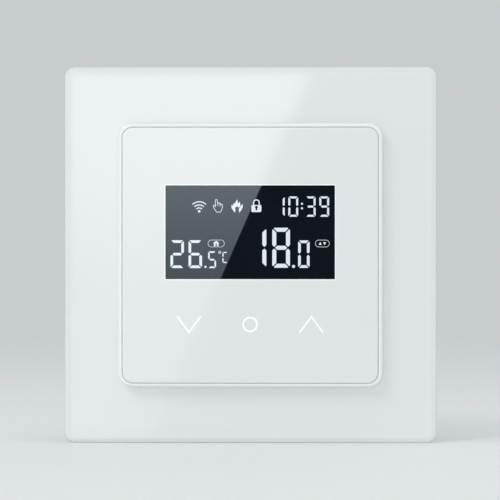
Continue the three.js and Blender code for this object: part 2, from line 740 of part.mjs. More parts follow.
function terminalBlock() {
  let body = block(-BLOCK.halfWidth, BLOCK.halfWidth, BLOCK.front, HOUSING.rear, BLOCK.bottom, BLOCK.top);
  const halfChamber = CHAMBER.width / 2;
  const halfDepth = CHAMBER.depth / 2;
  const roof = POLE_Z + halfDepth;
  const halfEntry = WIRE_ENTRY.width / 2;
  const halfBar = BAR_SLOT.width / 2;
  const headBoreFront = TERMINAL_SCREW.headFront - FIT;
  for (let pole = 0; pole < POLES; pole += 1) {
    const x = poleX(pole);
    body = cut(
      body,
      block(x - halfChamber, x + halfChamber, CHAMBER.front, CHAMBER.rear, POLE_Z - halfDepth, roof),
      block(x - halfEntry, x + halfEntry, WIRE_ENTRY.front, WIRE_ENTRY.rear, BLOCK.bottom - CUT, POLE_Z),
      block(x - halfBar, x + halfBar, BLOCK.front - CUT, BAR_SLOT.rear, POLE_Z, roof + BAR_SLOT.reach),
      rod(TERMINAL_SCREW.shank + FIT, CHAMBER.rear - CUT, headBoreFront + CUT, x, POLE_Z),
      rod(TERMINAL_SCREW.head + FIT, headBoreFront, HOUSING.rear + CUT, x, POLE_Z),
    );
  }
  return body;
}

// A square cage with a threaded top, drawn towards the screw's head to grip the wire.
function terminalClamp() {
  const { width, depth, wall, front, rear, top, bottom, hole } = CLAMP;
  const half = width / 2;
  return cut(
    block(-half, half, front, rear, -depth / 2, depth / 2),
    block(-half + wall, half - wall, front + bottom, rear - top, -depth, depth),
    rod(hole, rear - top - CUT, rear + CUT),
  );
}

function terminalScrew() {
  const { tip, shank, head, headFront, headRear } = TERMINAL_SCREW;
  const body = turned([
    [0, tip], [shank - 0.3, tip], [shank, tip + 0.3], [shank, headFront],
    [head, headFront], [head, headRear - 0.2], [head - 0.2, headRear], [0, headRear],
  ]);
  return cut(body, block(-head - 1, head + 1, headRear - 0.8, headRear + CUT, -0.35, 0.35));
}

// ---------------------------------------------------------------- assembly

const thermostat = new THREE.Group();
const base = new THREE.Group();
const frame = new THREE.Group();
const touchModule = new THREE.Group();
thermostat.add(base, frame, touchModule);

addPiece(frame, 'frame_glass', frameGlass(), whiteGlass());
addPiece(frame, 'frame_adhesive', frameAdhesive(), adhesive());
addPiece(frame, 'frame_carrier', frameCarrier(), whitePlastic());

addPiece(touchModule, 'front_glass', frontGlass(), whiteGlass());
addPiece(touchModule, 'glass_adhesive', glassAdhesive(), adhesive());
addPiece(touchModule, 'module_bezel', moduleBezel(), whitePlastic());
addPiece(touchModule, 'lcd_cell', lcdCell(), darkGlass());
addPiece(touchModule, 'lcd_light_guide', lcdLightGuide(), clearPlastic());
addPiece(touchModule, 'lcd_connector', lcdConnector(), rubber());
addPiece(touchModule, 'lcd_holder', lcdHolder(), whitePlastic());
addPiece(touchModule, 'control_board', controlBoard(), circuitBoard());
for (const [place, x] of Object.entries(KEYS)) {
  const spring = addPiece(touchModule, `touch_spring_${place}`, touchSpring(), steel());
  spring.position.set(x, 0, KEY_Z);
  const lamp = addPiece(touchModule, `key_lamp_${place}`, keyLamp(), clearPlastic());
  lamp.position.set(x, 0, KEY_Z);
}
addPiece(touchModule, 'microcontroller', microcontroller(), blackPlastic());
addPiece(touchModule, 'wireless_module', wirelessModule(), tinned());
addPiece(touchModule, 'buzzer', buzzer(), blackPlastic());
addPiece(touchModule, 'backup_battery', backupBattery(), steel());
addPiece(touchModule, 'room_sensor', roomSensor(), blackPlastic());
addPiece(touchModule, 'pin_header', pinHeader(), blackPlastic());
addPiece(touchModule, 'module_rear_cover', moduleRearCover(), whitePlastic());

addPiece(base, 'mounting_plate', mountingPlate(), steel());
corners.forEach(([x, z], place) => {
  const screw = addPiece(base, `plate_screw_${place + 1}`, plateScrew(), steel());
  screw.position.set(x * BOSS.offset, 0, z * BOSS.offset);
  screw.rotation.y = Math.PI / 4 + place;
});
addPiece(base, 'rear_housing', rearHousing(), greyPlastic());
addPiece(base, 'base_cover', baseCover(), greyPlastic());
addPiece(base, 'power_board', powerBoard(), circuitBoard());
addPiece(base, 'socket_header', socketHeader(), blackPlastic());
addPiece(base, 'rating_label', ratingLabel(), finish(0xf2f3f3, 0.6));
addPiece(base, 'relay_cover', relayCover(), finish(0x23262a, 0.4));
addPiece(base, 'relay_base', relayBase(), blackPlastic());
addPiece(base, 'relay_coil', relayCoil(), finish(0xa1522b, 0.4, 0.5));
addPiece(base, 'relay_yoke', relayYoke(), steel());
addPiece(base, 'relay_armature', relayArmature(), steel());
addPiece(base, 'transformer_core', transformerCore(), finish(0x35373a, 0.7));
addPiece(base, 'transformer_coil', transformerCoil(), finish(0xd9b34a, 0.5));
const reservoir = addPiece(base, 'reservoir_capacitor', canCapacitor(), finish(0x20242b, 0.35));
reservoir.position.set(CAN.reservoirX, 0, CAN.z);
const output = addPiece(base, 'output_capacitor', canCapacitor(), finish(0x20242b, 0.35));
output.position.set(CAN.outputX, 0, CAN.z);
addPiece(base, 'film_capacitor', filmCapacitor(), finish(0xc9a227, 0.5));
addPiece(base, 'varistor', varistor(), finish(0x2f5fa5, 0.5));
addPiece(base, 'fuse', fuse(), finish(0x6b4a2f, 0.5));
addPiece(base, 'terminal_block', terminalBlock(), flameRetardant());
for (let pole = 0; pole < POLES; pole += 1) {
  const clamp = addPiece(base, `terminal_clamp_${pole + 1}`, terminalClamp(), brass());
  clamp.position.set(poleX(pole), 0, POLE_Z);
  const screw = addPiece(base, `terminal_screw_${pole + 1}`, terminalScrew(), tinned());
  screw.position.set(poleX(pole), 0, POLE_Z);
}

export default thermostat;
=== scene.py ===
import json
import math

import bmesh
import bpy
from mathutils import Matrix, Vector


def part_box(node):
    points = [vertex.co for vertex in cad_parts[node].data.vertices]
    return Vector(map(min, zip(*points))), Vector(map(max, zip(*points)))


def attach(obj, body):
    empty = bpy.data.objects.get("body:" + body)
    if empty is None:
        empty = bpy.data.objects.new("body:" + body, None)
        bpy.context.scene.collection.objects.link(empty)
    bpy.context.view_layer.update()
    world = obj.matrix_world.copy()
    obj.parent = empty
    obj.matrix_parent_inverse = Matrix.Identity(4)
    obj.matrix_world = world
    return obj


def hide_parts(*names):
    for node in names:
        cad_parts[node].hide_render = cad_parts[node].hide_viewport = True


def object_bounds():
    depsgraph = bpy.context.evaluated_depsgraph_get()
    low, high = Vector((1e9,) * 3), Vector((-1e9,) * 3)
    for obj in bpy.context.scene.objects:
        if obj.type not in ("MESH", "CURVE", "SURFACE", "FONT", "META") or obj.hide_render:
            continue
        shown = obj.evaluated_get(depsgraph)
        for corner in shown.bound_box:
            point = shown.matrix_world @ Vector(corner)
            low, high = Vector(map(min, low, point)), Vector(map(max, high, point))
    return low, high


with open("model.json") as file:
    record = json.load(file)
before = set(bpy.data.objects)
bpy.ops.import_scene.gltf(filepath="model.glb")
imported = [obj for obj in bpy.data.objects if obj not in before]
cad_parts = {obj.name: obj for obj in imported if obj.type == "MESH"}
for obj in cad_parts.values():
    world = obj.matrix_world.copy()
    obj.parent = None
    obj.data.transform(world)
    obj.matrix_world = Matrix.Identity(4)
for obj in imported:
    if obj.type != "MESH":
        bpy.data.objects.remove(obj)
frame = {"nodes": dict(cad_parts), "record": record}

# The looks of a square wall thermostat. Lengths are millimetres until a mesh is made,
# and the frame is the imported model's: X right, Z up, the front faces -Y.

MM = 0.001
START_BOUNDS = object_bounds()
nodes = frame["nodes"]
scene = bpy.context.scene

CORNER_STEPS = 12
ROUND_SIDES = 48
WELD = 1e-7
SHARP = math.radians(32)
BEVELLED = math.radians(50)

# Sizes of the replaced parts that their boxes don't give.
FRAME_CORNER, FRAME_OPENING, OPENING_CORNER = 2.4, 52.8, 3.0
CARRIER_CORNER, CARRIER_WALL, CARRIER_WEB_REAR, CARRIER_RIM = 1.9, 2.0, -3.9, -0.3
# A shallow groove runs along the foot of the carrier's wall.
CARRIER_EASE, CARRIER_GROOVE = 0.2, 0.5
PEG_RADIUS, PEG_POINT, PEG_ROOT, PEG_X, PEG_Z = 1.4, 0.4, 0.3, 33.0, 29.0
MODULE_CORNER, GLASS_CORNER, GLASS_SEAM, SEAM_DEPTH = 3.5, 2.3, 0.35, 0.66
KEY_MARK_RISE = 0.12
# How far the glass reaches past its solid into the seam, and its gap below the seam.
GLASS_GROWTH, GLASS_FIT = 0.09, 0.02
GLASS_ROUND_WIDTH, GLASS_ROUND_DEPTH, PRINT_INSET = 0.15, 0.12, 0.35
SHELF_FRONT, SHELF_WIDTH, SHELF_CORNER = -11.1, 2.6, 0.6
SKIRT_SIZE, SKIRT_CORNER, SKIRT_EASE = 51.6, 2.5, 0.2
SKIRT_WALL, SKIRT_INNER_CORNER, SKIRT_INNER_EASE = 1.6, 1.2, 0.1
FLANGE_GAP, LIP_FLAT, LIP_WIDTH, LIP_DEPTH, LIP_EASE = 0.04, 0.2, 0.70, 1.4, 0.05
WINDOW_MARGIN_X, WINDOW_MARGIN_Z = 1.45, 1.975
WINDOW_LINE = 0.22
PRINT_RISE = 0.012
# The frame glass's bevel: (inset from the side, depth from the front). The first
# ARRIS_WIDTH of it is the dull ground edge, painted darker also as contact shade along the floor.
# Its other edges are eased by GLASS_EASE.
ARRIS_WIDTH, GLASS_EASE, FLAT_MARGIN = 0.1, 0.18, 0.9
RIM = ((0, 0.54), (0.05, 0.46), (0.13, 0.40), (0.80, 0.03), (0.84, 0), (1.04, 0))
HOUSING_CORNER, HOUSING_WALL, HOUSING_ROUNDING, HOUSING_EASE = 3.0, 1.6, 0.8, 0.1
# The gap between the housing and the terminal block.
BLOCK_GAP = 0.3
VENTS, VENT_PITCH, VENT_WIDTH, VENT_START, VENT_END = 5, 6.0, 1.6, 12, 22
LABEL_CORNER, LABEL_GAP, LABEL_MARGIN, LABEL_LINE = 1.0, 0.3, 1.5, 0.16
LABEL_PRINT_RISE, LABEL_SEAT = 0.01, 0.05
# Shares of the label's height and of the table's width at which its lines run.
TABLE_ROWS, TABLE_DIVIDE = (0.42, 0.56, 0.70, 0.84), 0.62
# The contact diagram's heights above the label's foot, and its share of the true pitch.
DIAGRAM_RINGS, DIAGRAM_RING_RADIUS, DIAGRAM_PITCH = 3.6, 0.7, 0.72
DIAGRAM_JOINT, DIAGRAM_STEP = 6.4, 1.6
NUMBER_RISE, NUMBER_DROP = 0.02, 3.0
NUMBER_WIDTH, NUMBER_HEIGHT, NUMBER_STEM = 1.1, 2.0, 0.3
# Each terminal's chamber round its clamp, wire entry, slot for the bar, and screw bore.
CLAMP_GAP, CLAMP_END_GAP, CLAMP_TRAVEL_ROOM = 0.3, 0.4, 2.2
WIRE_FRONT, WIRE_REAR, WIRE_HALF = 15.0, 18.0, 1.8
SLOT_REAR, SLOT_HALF, SLOT_HEADROOM = 18.9, 1.7, 1.6
SHANK_RADIUS, SHANK_FRONT, SHANK_REAR, HEAD_DEPTH = 1.75, 22, 24, 2.1
# The bars that the wires are pressed on.
BAR_HALF, BAR_FRONT, BAR_REAR = 1.5, 17.8, 18.8
BAR_FOOT, BAR_STEP, BAR_TOP = 2.7, 3.6, 4.6


def box_mm(node):
    low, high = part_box(node)
    return low / MM, high / MM


def sides_mm(node):
    """A node's width and height."""
    low, high = box_mm(node)
    return high.x - low.x, high.z - low.z


def middle_mm(node):
    low, high = box_mm(node)
    return (low + high) / 2


# ------------------------------------------------------------------ outlines


def rounded_ring(width, height, radius, y, x=0.0, z=0.0):
    """A rounded rectangle in the plane y, anticlockwise as seen from the front."""
    points = []
    signs = ((1, -1), (1, 1), (-1, 1), (-1, -1))
    for quarter, (side_x, side_z) in enumerate(signs):
        centre_x = x + side_x * (width / 2 - radius)
        centre_z = z + side_z * (height / 2 - radius)
        for step in range(CORNER_STEPS + 1):
            angle = math.pi / 2 * (quarter - 1 + step / CORNER_STEPS)
            points.append(
                (centre_x + radius * math.cos(angle), y, centre_z + radius * math.sin(angle))
            )
    return points


def inset_ring(sides, corner, inset, y):
    width, height = sides
    return rounded_ring(width - 2 * inset, height - 2 * inset, max(corner - inset, 0.15), y)


def quarter_round(width, depth, steps=6):
    """(inset, depth from the face) pairs from the side wall round to the face."""
    turns = [math.pi / 2 * step / steps for step in range(steps + 1)]
    return [(width * (1 - math.cos(t)), depth * (1 - math.sin(t))) for t in turns]


def arc(x, z, radius, start, end, steps=12):
    """Points of an arc, with its angles in degrees."""
    angles = [math.radians(start + (end - start) * i / steps) for i in range(steps + 1)]
    return [(x + radius * math.cos(a), z + radius * math.sin(a)) for a in angles]


def disc(x, z, radius, sides=28):
    return arc(x, z, radius, 0, 360, sides)[:-1]


def bar(x0, x1, z0, z1):
    return [(x0, z0), (x1, z0), (x1, z1), (x0, z1)]


def ribbon(points, width, closed=False):
    """Quads of a stroke along a line of points, with mitred joins."""
    count = len(points)
    path = [Vector(p) for p in points]
    left, right = [], []
    for i in range(count):
        before = path[i - 1] if closed or i > 0 else None
        after = path[(i + 1) % count] if closed or i < count - 1 else None
        ways = []
        if before is not None:
            ways.append((path[i] - before).normalized())
        if after is not None:
            ways.append((after - path[i]).normalized())
        sides = [Vector((-w.y, w.x)) for w in ways]
        side = sum(sides, Vector((0.0, 0.0))).normalized()
        reach = width / 2 / max(side.dot(sides[0]), 0.35)
        left.append(path[i] + side * reach)
        right.append(path[i] - side * reach)
    spans = range(count) if closed else range(count - 1)
    return [
        [left[i], right[i], right[(i + 1) % count], left[(i + 1) % count]] for i in spans
    ]


def stroke(points, width):
    """An open stroke with round ends."""
    shapes = ribbon(points, width)
    for tip, inner in ((points[0], points[1]), (points[-1], points[-2])):
        facing = math.degrees(math.atan2(tip[1] - inner[1], tip[0] - inner[0]))
        shapes.append(arc(tip[0], tip[1], width / 2, facing - 90, facing + 90, 10))
    return shapes


# ------------------------------------------------------------------ meshes


def add_loft(bm, rings, bands=None, closed=False):
    """Walls between rings of equal length, capped unless the last joins the first."""
    loops = [[bm.verts.new(Vector(p) * MM) for p in ring] for ring in rings]
    pairs = list(zip(loops, loops[1:]))
    if closed:
        pairs.append((loops[-1], loops[0]))
    for band, (near, far) in enumerate(pairs):
        for i in range(len(near)):
            j = (i + 1) % len(near)
            face = bm.faces.new((near[i], near[j], far[j], far[i]))
            face.material_index = bands[band] if bands else 0
    if not closed:
        bm.faces.new(loops[0]).material_index = bands[0] if bands else 0
        bm.faces.new(loops[-1]).material_index = bands[-1] if bands else 0


def add_box(bm, low, high):
    corners = [
        bm.verts.new(Vector((x, y, z)) * MM)
        for x in (low[0], high[0])
        for y in (low[1], high[1])
        for z in (low[2], high[2])
    ]
    for a, b, c, d in (
        (0, 1, 3, 2), (4, 6, 7, 5), (0, 4, 5, 1), (2, 3, 7, 6), (0, 2, 6, 4), (1, 5, 7, 3),
    ):
        bm.faces.new((corners[a], corners[b], corners[c], corners[d]))


def add_turned(bm, profile, x, z, sides=ROUND_SIDES):
    """(radius, y) pairs turned about a line along Y."""
    rings = [
        [
            (
                x + radius * math.cos(2 * math.pi * i / sides),
                y,
                z + radius * math.sin(2 * math.pi * i / sides),
            )
            for i in range(sides)
        ]
        for radius, y in profile
    ]
    add_loft(bm, rings)


def tidy_faces(bm):
    bmesh.ops.remove_doubles(bm, verts=bm.verts, dist=WELD)
    bmesh.ops.dissolve_degenerate(bm, edges=bm.edges, dist=WELD)
    bmesh.ops.recalc_face_normals(bm, faces=bm.faces)


def make_object(name, bm, materials=()):
    mesh = bpy.data.meshes.new(name)
    bm.to_mesh(mesh)
    bm.free()
    for material in materials:
        mesh.materials.append(material)
    obj = bpy.data.objects.new(name, mesh)
    scene.collection.objects.link(obj)
    return obj


def carve(obj, cutter_bm):
    """Takes the cutter's solids out of obj, and leaves a plain mesh."""
    tidy_faces(cutter_bm)
    cutter = make_object("cutter", cutter_bm)
    modifier = obj.modifiers.new("carve", "BOOLEAN")
    modifier.operation, modifier.solver, modifier.use_self = "DIFFERENCE", "EXACT", True
    modifier.object = cutter
    graph = bpy.context.evaluated_depsgraph_get()
    carved = bpy.data.meshes.new_from_object(obj.evaluated_get(graph))
    obj.modifiers.clear()
    obj.data = carved
    bpy.data.objects.remove(cutter)


def soften(obj, width, segments=3):
    """Rounds the edges through a modifier alone."""
    bevel = obj.modifiers.new("edges", "BEVEL")
    bevel.width, bevel.segments = width * MM, segments
    bevel.limit_method, bevel.angle_limit = "ANGLE", BEVELLED
    bevel.miter_outer = "MITER_ARC"
    bevel.use_clamp_overlap = True


def keep_flats(obj):
    """Large flat faces shade flat, and only the rounded edges between them shade round."""
    normals = obj.modifiers.new("normals", "WEIGHTED_NORMAL")
    normals.keep_sharp = True


def smooth(obj):
    obj.data.polygons.foreach_set("use_smooth", [True] * len(obj.data.polygons))
    obj.data.set_sharp_from_angle(angle=SHARP)
    keep_flats(obj)


def place(obj, body, stands_for=()):
    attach(obj, body)
    if stands_for:
        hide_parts(*stands_for)


def solid_piece(name, bm, materials, body, stands_for=()):
    tidy_faces(bm)
    obj = make_object(name, bm, materials)
    smooth(obj)
    place(obj, body, stands_for)


def flat_piece(name, shapes, y, material, body, facing=1):
    """Thin printed or lit marks in the XZ plane. They face the rear if facing is -1."""
    bm = bmesh.new()
    for shape in shapes:
        corners = [Vector(p) for p in shape]
        turn = sum(
            a.x * b.y - b.x * a.y for a, b in zip(corners, corners[1:] + corners[:1])
        )
        if turn * facing < 0:
            corners.reverse()
        bm.faces.new([bm.verts.new(Vector((p.x, y, p.y)) * MM) for p in corners])
    place(make_object(name, bm, [material]), body)


# ------------------------------------------------------------------ materials


class Surface:
    """A Principled material whose colour, gloss and relief vary through noise."""

    def __init__(self, name, color, roughness, metallic=0.0, ior=1.5):
        self.material = bpy.data.materials.new(name)
        self.material.use_nodes = True
        self.tree = self.material.node_tree
        self.shader = self.tree.nodes["Principled BSDF"]
        self.color = color
        self.shader.inputs["Base Color"].default_value = (*color, 1.0)
        self.shader.inputs["Roughness"].default_value = roughness
        self.shader.inputs["Metallic"].default_value = metallic
        self.shader.inputs["IOR"].default_value = ior
        self.place = self.add("ShaderNodeTexCoord").outputs["Object"]
        self.roughness = roughness

    def add(self, kind, **values):
        node = self.tree.nodes.new(kind)
        for key, value in values.items():
            setattr(node, key, value)
        return node

    def link(self, output, target):
        self.tree.links.new(output, target)

    def math(self, operation, *values):
        node = self.add("ShaderNodeMath", operation=operation)
        for socket, value in zip(node.inputs, values):
            if isinstance(value, (int, float)):
                socket.default_value = value
            else:
                self.link(value, socket)
        return node.outputs[0]

    def noise(self, size, detail=3.0, stretch=(1, 1, 1)):
        """Noise with features of the given size in millimetres."""
        scale = self.add("ShaderNodeMapping")
        scale.inputs["Scale"].default_value = [s / (size * MM) for s in stretch]
        self.link(self.place, scale.inputs["Vector"])
        noise = self.add("ShaderNodeTexNoise")
        noise.inputs["Scale"].default_value = 1.0
        noise.inputs["Detail"].default_value = detail
        self.link(scale.outputs[0], noise.inputs["Vector"])
        return noise.outputs["Fac"]

    def ramp(self, value, low, high, start=0.0, end=1.0):
        node = self.add("ShaderNodeMapRange", interpolation_type="SMOOTHSTEP")
        self.link(value, node.inputs["Value"])
        for key, number in (
            ("From Min", low), ("From Max", high), ("To Min", start), ("To Max", end),
        ):
            node.inputs[key].default_value = number
        return node.outputs[0]

    def mottle(self, size, spread):
        """The colour wanders a little about its mean."""
        low = [max(c * (1 - spread), 0) for c in self.color]
        high = [min(c * (1 + spread), 1) for c in self.color]
        self.blend(self.noise(size), low, high)

    def blend(self, value, low, high):
        mix = self.add("ShaderNodeMix", data_type="RGBA")
        mix.inputs[6].default_value = (*low, 1.0)
        mix.inputs[7].default_value = (*high, 1.0)
        self.link(value, mix.inputs[0])
        self.link(mix.outputs[2], self.shader.inputs["Base Color"])

    def uneven(self, size, spread):
        """The gloss wanders about its mean."""
        mean = self.roughness
        gloss = self.ramp(self.noise(size), 0.3, 0.7, mean * (1 - spread), mean * (1 + spread))
        self.link(gloss, self.shader.inputs["Roughness"])

    def grain(self, size, height, strength, stretch=(1, 1, 1)):
        """Fine relief, with height in millimetres."""
        bump = self.add("ShaderNodeBump")
        bump.inputs["Strength"].default_value = strength
        bump.inputs["Distance"].default_value = height * MM
        self.link(self.noise(size, 2.0, stretch), bump.inputs["Height"])
        self.link(bump.outputs[0], self.shader.inputs["Normal"])

    def set(self, **values):
        for key, value in values.items():
            socket = self.shader.inputs[key.replace("_", " ")]
            socket.default_value = (*value, 1.0) if isinstance(value, tuple) else value


def plastic(name, color, roughness=0.45, grain_size=0.35, grain_height=0.02):
    surface = Surface(name, color, roughness, ior=1.46)
    surface.mottle(6.0, 0.02)
    surface.uneven(2.0, 0.12)
    surface.grain(grain_size, grain_height, 0.35)
    return surface.material


def metal(name, color, roughness, stretch=(1, 1, 1)):
    surface = Surface(name, color, roughness, metallic=1.0)
    surface.mottle(3.0, 0.06)
    surface.uneven(1.5, 0.25)
    surface.grain(0.5, 0.01, 0.3, stretch)
    return surface.material


WHITE_PRINT = (0.715, 0.728, 0.728)
# The colour of the painted shade that the print takes near the polished edge.
EDGE_SHADE_GREY = (0.672, 0.687, 0.687)
# The colour of the painted glow on the glass and bezel edges.
PAINTED_EDGE_GLOW = (0.80, 0.86, 0.86)
# Insets from the side between which the print is darkened as painted shade, and between which its
# gloss fades.
EDGE_SHADE_INSETS = (1.4, 1.0)
BORDER_DULLING = (2.8, 0.9)
BORDER_GLOSS = (0.5, 0.05)


def printed_glass(name, sides, corner):
    """Clear glass printed white on its back; painted shade darkens the print towards the polished
    edge.
    """
    surface = Surface(name, WHITE_PRINT, 0.05, ior=1.39)
    split = surface.add("ShaderNodeSeparateXYZ")
    surface.link(surface.place, split.inputs[0])
    # The distance from the rectangle through the corners' centres. The glass's outline
    # is one corner radius out.
    over = []
    for axis, side in zip("XZ", sides):
        out = surface.math("ABSOLUTE", split.outputs[axis])
        over.append(surface.math("SUBTRACT", out, (side / 2 - corner) * MM))
    outside = [surface.math("MAXIMUM", o, 0.0) for o in over]
    squares = [surface.math("MULTIPLY", o, o) for o in outside]
    beyond = surface.math("SQRT", surface.math("ADD", *squares))
    within = surface.math("MINIMUM", surface.math("MAXIMUM", *over), 0.0)
    distance = surface.math("ADD", beyond, within)
    # Painted shade: the print darkens towards the polished edge.
    edge_shading = [(corner - inset) * MM for inset in EDGE_SHADE_INSETS]
    surface.blend(surface.ramp(distance, *edge_shading), WHITE_PRINT, EDGE_SHADE_GREY)
    dulling = [(corner - inset) * MM for inset in BORDER_DULLING]
    gloss = surface.ramp(distance, *dulling, *BORDER_GLOSS)
    surface.link(gloss, surface.shader.inputs["Specular IOR Level"])
    surface.uneven(9.0, 0.15)
    return surface.material


def lit(name, color, strength=1.0, base=(0.02, 0.02, 0.02)):
    """A lit mark behind glass: it glows evenly and still takes the glass's reflections."""
    surface = Surface(name, base, 0.06)
    surface.uneven(1.5, 0.2)
    surface.set(Emission_Color=color, Emission_Strength=strength)
    return surface.material


frame_print_painted_shade = printed_glass("frame_printed_glass", sides_mm("frame_glass"), FRAME_CORNER)
# Painted glow on the frame glass's rounded rim, standing in for light through the edge; its base
# is dark so the glow sets its brightness.
rim_painted_glow = Surface("rim_painted_glow", (0.42, 0.435, 0.435), 0.08, ior=1.39)
rim_painted_glow.uneven(9.0, 0.06)
rim_painted_glow.set(Emission_Color=PAINTED_EDGE_GLOW, Emission_Strength=0.33)
arris_and_contact_shade = Surface("arris_and_contact_shade", (0.56, 0.58, 0.585), 0.3)
arris_and_contact_shade.uneven(4.0, 0.2)
# Painted glow: the bezel's rounded side and wall glow faintly to lighten their shade.
lip_side_painted_glow = Surface("lip_side_painted_glow", (0.735, 0.748, 0.748), 0.3)
lip_side_painted_glow.uneven(9.0, 0.04)
lip_side_painted_glow.set(Emission_Color=PAINTED_EDGE_GLOW, Emission_Strength=0.035)
# Painted highlight: the bezel lip's front and the module glass's rounded edge glow as bright
# lines.
edge_painted_highlight = Surface("edge_painted_highlight", (0.74, 0.755, 0.755), 0.2)
edge_painted_highlight.uneven(9.0, 0.04)
edge_painted_highlight.set(Emission_Color=PAINTED_EDGE_GLOW, Emission_Strength=0.10)
white_print = Surface("module_printed_glass", WHITE_PRINT, 0.05, ior=1.39)
white_print.mottle(14.0, 0.004)
white_print.uneven(9.0, 0.15)
# A white line printed round the window, which also glows faintly.
window_line_glow = lit("window_line", (0.86, 0.90, 0.92), 0.12, base=(0.80, 0.83, 0.84))
window_black = Surface("window_black", (0.0022, 0.0042, 0.0066), 0.012, ior=1.52)
window_black.set(Specular_Tint=(0.75, 0.87, 0.98))
window_black.mottle(8.0, 0.12)
window_black.uneven(9.0, 0.1)
segment_light = lit("segment_light", (0.72, 0.80, 0.86))
key_light = lit("key_light", (0.97, 0.985, 0.985))
keyhole_dark = Surface("keyhole_dark", (0.003, 0.005, 0.008), 0.05)
keyhole_dark.uneven(1.0, 0.2)

finishes = {
    "white_plastic": plastic("white_plastic", (0.735, 0.748, 0.748), 0.34, 0.25, 0.008),
    "grey_plastic": plastic("grey_plastic", (0.52, 0.545, 0.56), 0.5, 0.4, 0.03),
    "black_plastic": plastic("black_plastic", (0.018, 0.019, 0.021), 0.45),
    "green_plastic": plastic("green_plastic", (0.025, 0.155, 0.075), 0.4),
    "clear_plastic": plastic("clear_plastic", (0.82, 0.84, 0.82), 0.3),
    "adhesive": plastic("adhesive", (0.66, 0.67, 0.68), 0.8),
    "rubber": plastic("rubber", (0.035, 0.035, 0.038), 0.85),
    "circuit_board": plastic("circuit_board", (0.012, 0.095, 0.045), 0.3, 0.6, 0.02),
    "ferrite": plastic("ferrite", (0.035, 0.035, 0.038), 0.75, 0.3, 0.04),
    "winding_tape": plastic("winding_tape", (0.62, 0.42, 0.07), 0.3),
    "capacitor_sleeve": plastic("capacitor_sleeve", (0.015, 0.02, 0.03), 0.3),
    "film_case": plastic("film_case", (0.55, 0.34, 0.03), 0.3),
    "varistor_coating": plastic("varistor_coating", (0.03, 0.11, 0.36), 0.45, 0.4, 0.04),
    "fuse_case": plastic("fuse_case", (0.14, 0.07, 0.03), 0.4),
    "label": plastic("label", (0.83, 0.84, 0.84), 0.55, 0.5, 0.004),
    "plated_steel": metal("plated_steel", (0.62, 0.63, 0.64), 0.34, (0.3, 1, 3)),
    "tinned_metal": metal("tinned_metal", (0.70, 0.70, 0.69), 0.28),
    "brass": metal("brass", (0.72, 0.52, 0.23), 0.3),
    "copper_winding": metal("copper_winding", (0.55, 0.22, 0.09), 0.3, (0.2, 3, 0.2)),
    "printed_glass": white_print.material,
    "display_glass": window_black.material,
}

# ------------------------------------------------------------------ CAD parts kept

REPLACED = {
    "frame_glass", "frame_carrier", "front_glass", "module_bezel",
    "rear_housing", "terminal_block", "rating_label",
}
# Punched sheet, whose edges stay sharp.
SHARP_EDGED = {"mounting_plate"}
KEPT_BEVEL = 0.12
KEPT_WELD = 1e-6


def shade_by_angle():
    """A node group that shades smooth except over sharp edges."""
    tree = bpy.data.node_groups.new("shade_by_angle", "GeometryNodeTree")
    tree.interface.new_socket("Geometry", in_out="INPUT", socket_type="NodeSocketGeometry")
    tree.interface.new_socket("Geometry", in_out="OUTPUT", socket_type="NodeSocketGeometry")
    start = tree.nodes.new("NodeGroupInput")
    end = tree.nodes.new("NodeGroupOutput")
    faces = tree.nodes.new("GeometryNodeSetShadeSmooth")
    edges = tree.nodes.new("GeometryNodeSetShadeSmooth")
    faces.domain, edges.domain = "FACE", "EDGE"
    angle = tree.nodes.new("GeometryNodeInputMeshEdgeAngle")
    gentle = tree.nodes.new("FunctionNodeCompare")
    gentle.data_type, gentle.operation = "FLOAT", "LESS_THAN"
    gentle.inputs[1].default_value = SHARP
    tree.links.new(start.outputs[0], faces.inputs["Geometry"])
    tree.links.new(faces.outputs[0], edges.inputs["Geometry"])
    tree.links.new(angle.outputs[0], gentle.inputs[0])
    tree.links.new(gentle.outputs[0], edges.inputs["Shade Smooth"])
    tree.links.new(edges.outputs[0], end.inputs[0])
    return tree


shading = shade_by_angle()
for part in frame["record"]["subparts"]:
    name = part["node"]
    obj = nodes[name]
    for material_slot in obj.material_slots:
        material_slot.material = finishes[part["material_slot"]]
    if name in REPLACED:
        continue
    weld = obj.modifiers.new("weld", "WELD")
    weld.merge_threshold = KEPT_WELD
    if name not in SHARP_EDGED:
        soften(obj, KEPT_BEVEL, segments=2)
    obj.modifiers.new("shading", "NODES").node_group = shading
    keep_flats(obj)

# ------------------------------------------------------------------ glass frame


def frame_glass():
    low, high = box_mm("frame_glass")
    sides = sides_mm("frame_glass")
    front, rear = low.y, high.y
    edge = GLASS_EASE
    rings = [inset_ring(sides, FRAME_CORNER, edge, rear)]
    rings.append(inset_ring(sides, FRAME_CORNER, 0, rear - edge))
    for inset, depth in RIM:
        rings.append(inset_ring(sides, FRAME_CORNER, inset, front + depth))
    # Band 1 has the rim's painted glow; band 2 the dull ground edge, darkened also as painted
    # contact shade.
    bands = [1, 1] + [2 if inset < ARRIS_WIDTH else 1 for inset, depth in RIM[:-1]]
    rings.append(inset_ring(sides, FRAME_CORNER, RIM[-1][0] + FLAT_MARGIN, front))
    for eased, y in ((edge, front), (0, front + edge), (0, rear - edge), (edge, rear)):
        width = FRAME_OPENING + 2 * eased
        rings.append(rounded_ring(width, width, OPENING_CORNER, y))
    bands += [0] * (len(rings) - len(bands))
    bm = bmesh.new()
    add_loft(bm, rings, bands, closed=True)
    solid_piece(
        "frame_glass_body", bm, [frame_print_painted_shade, rim_painted_glow.material, arris_and_contact_shade.material],
        "outer_frame", ["frame_glass"],
    )


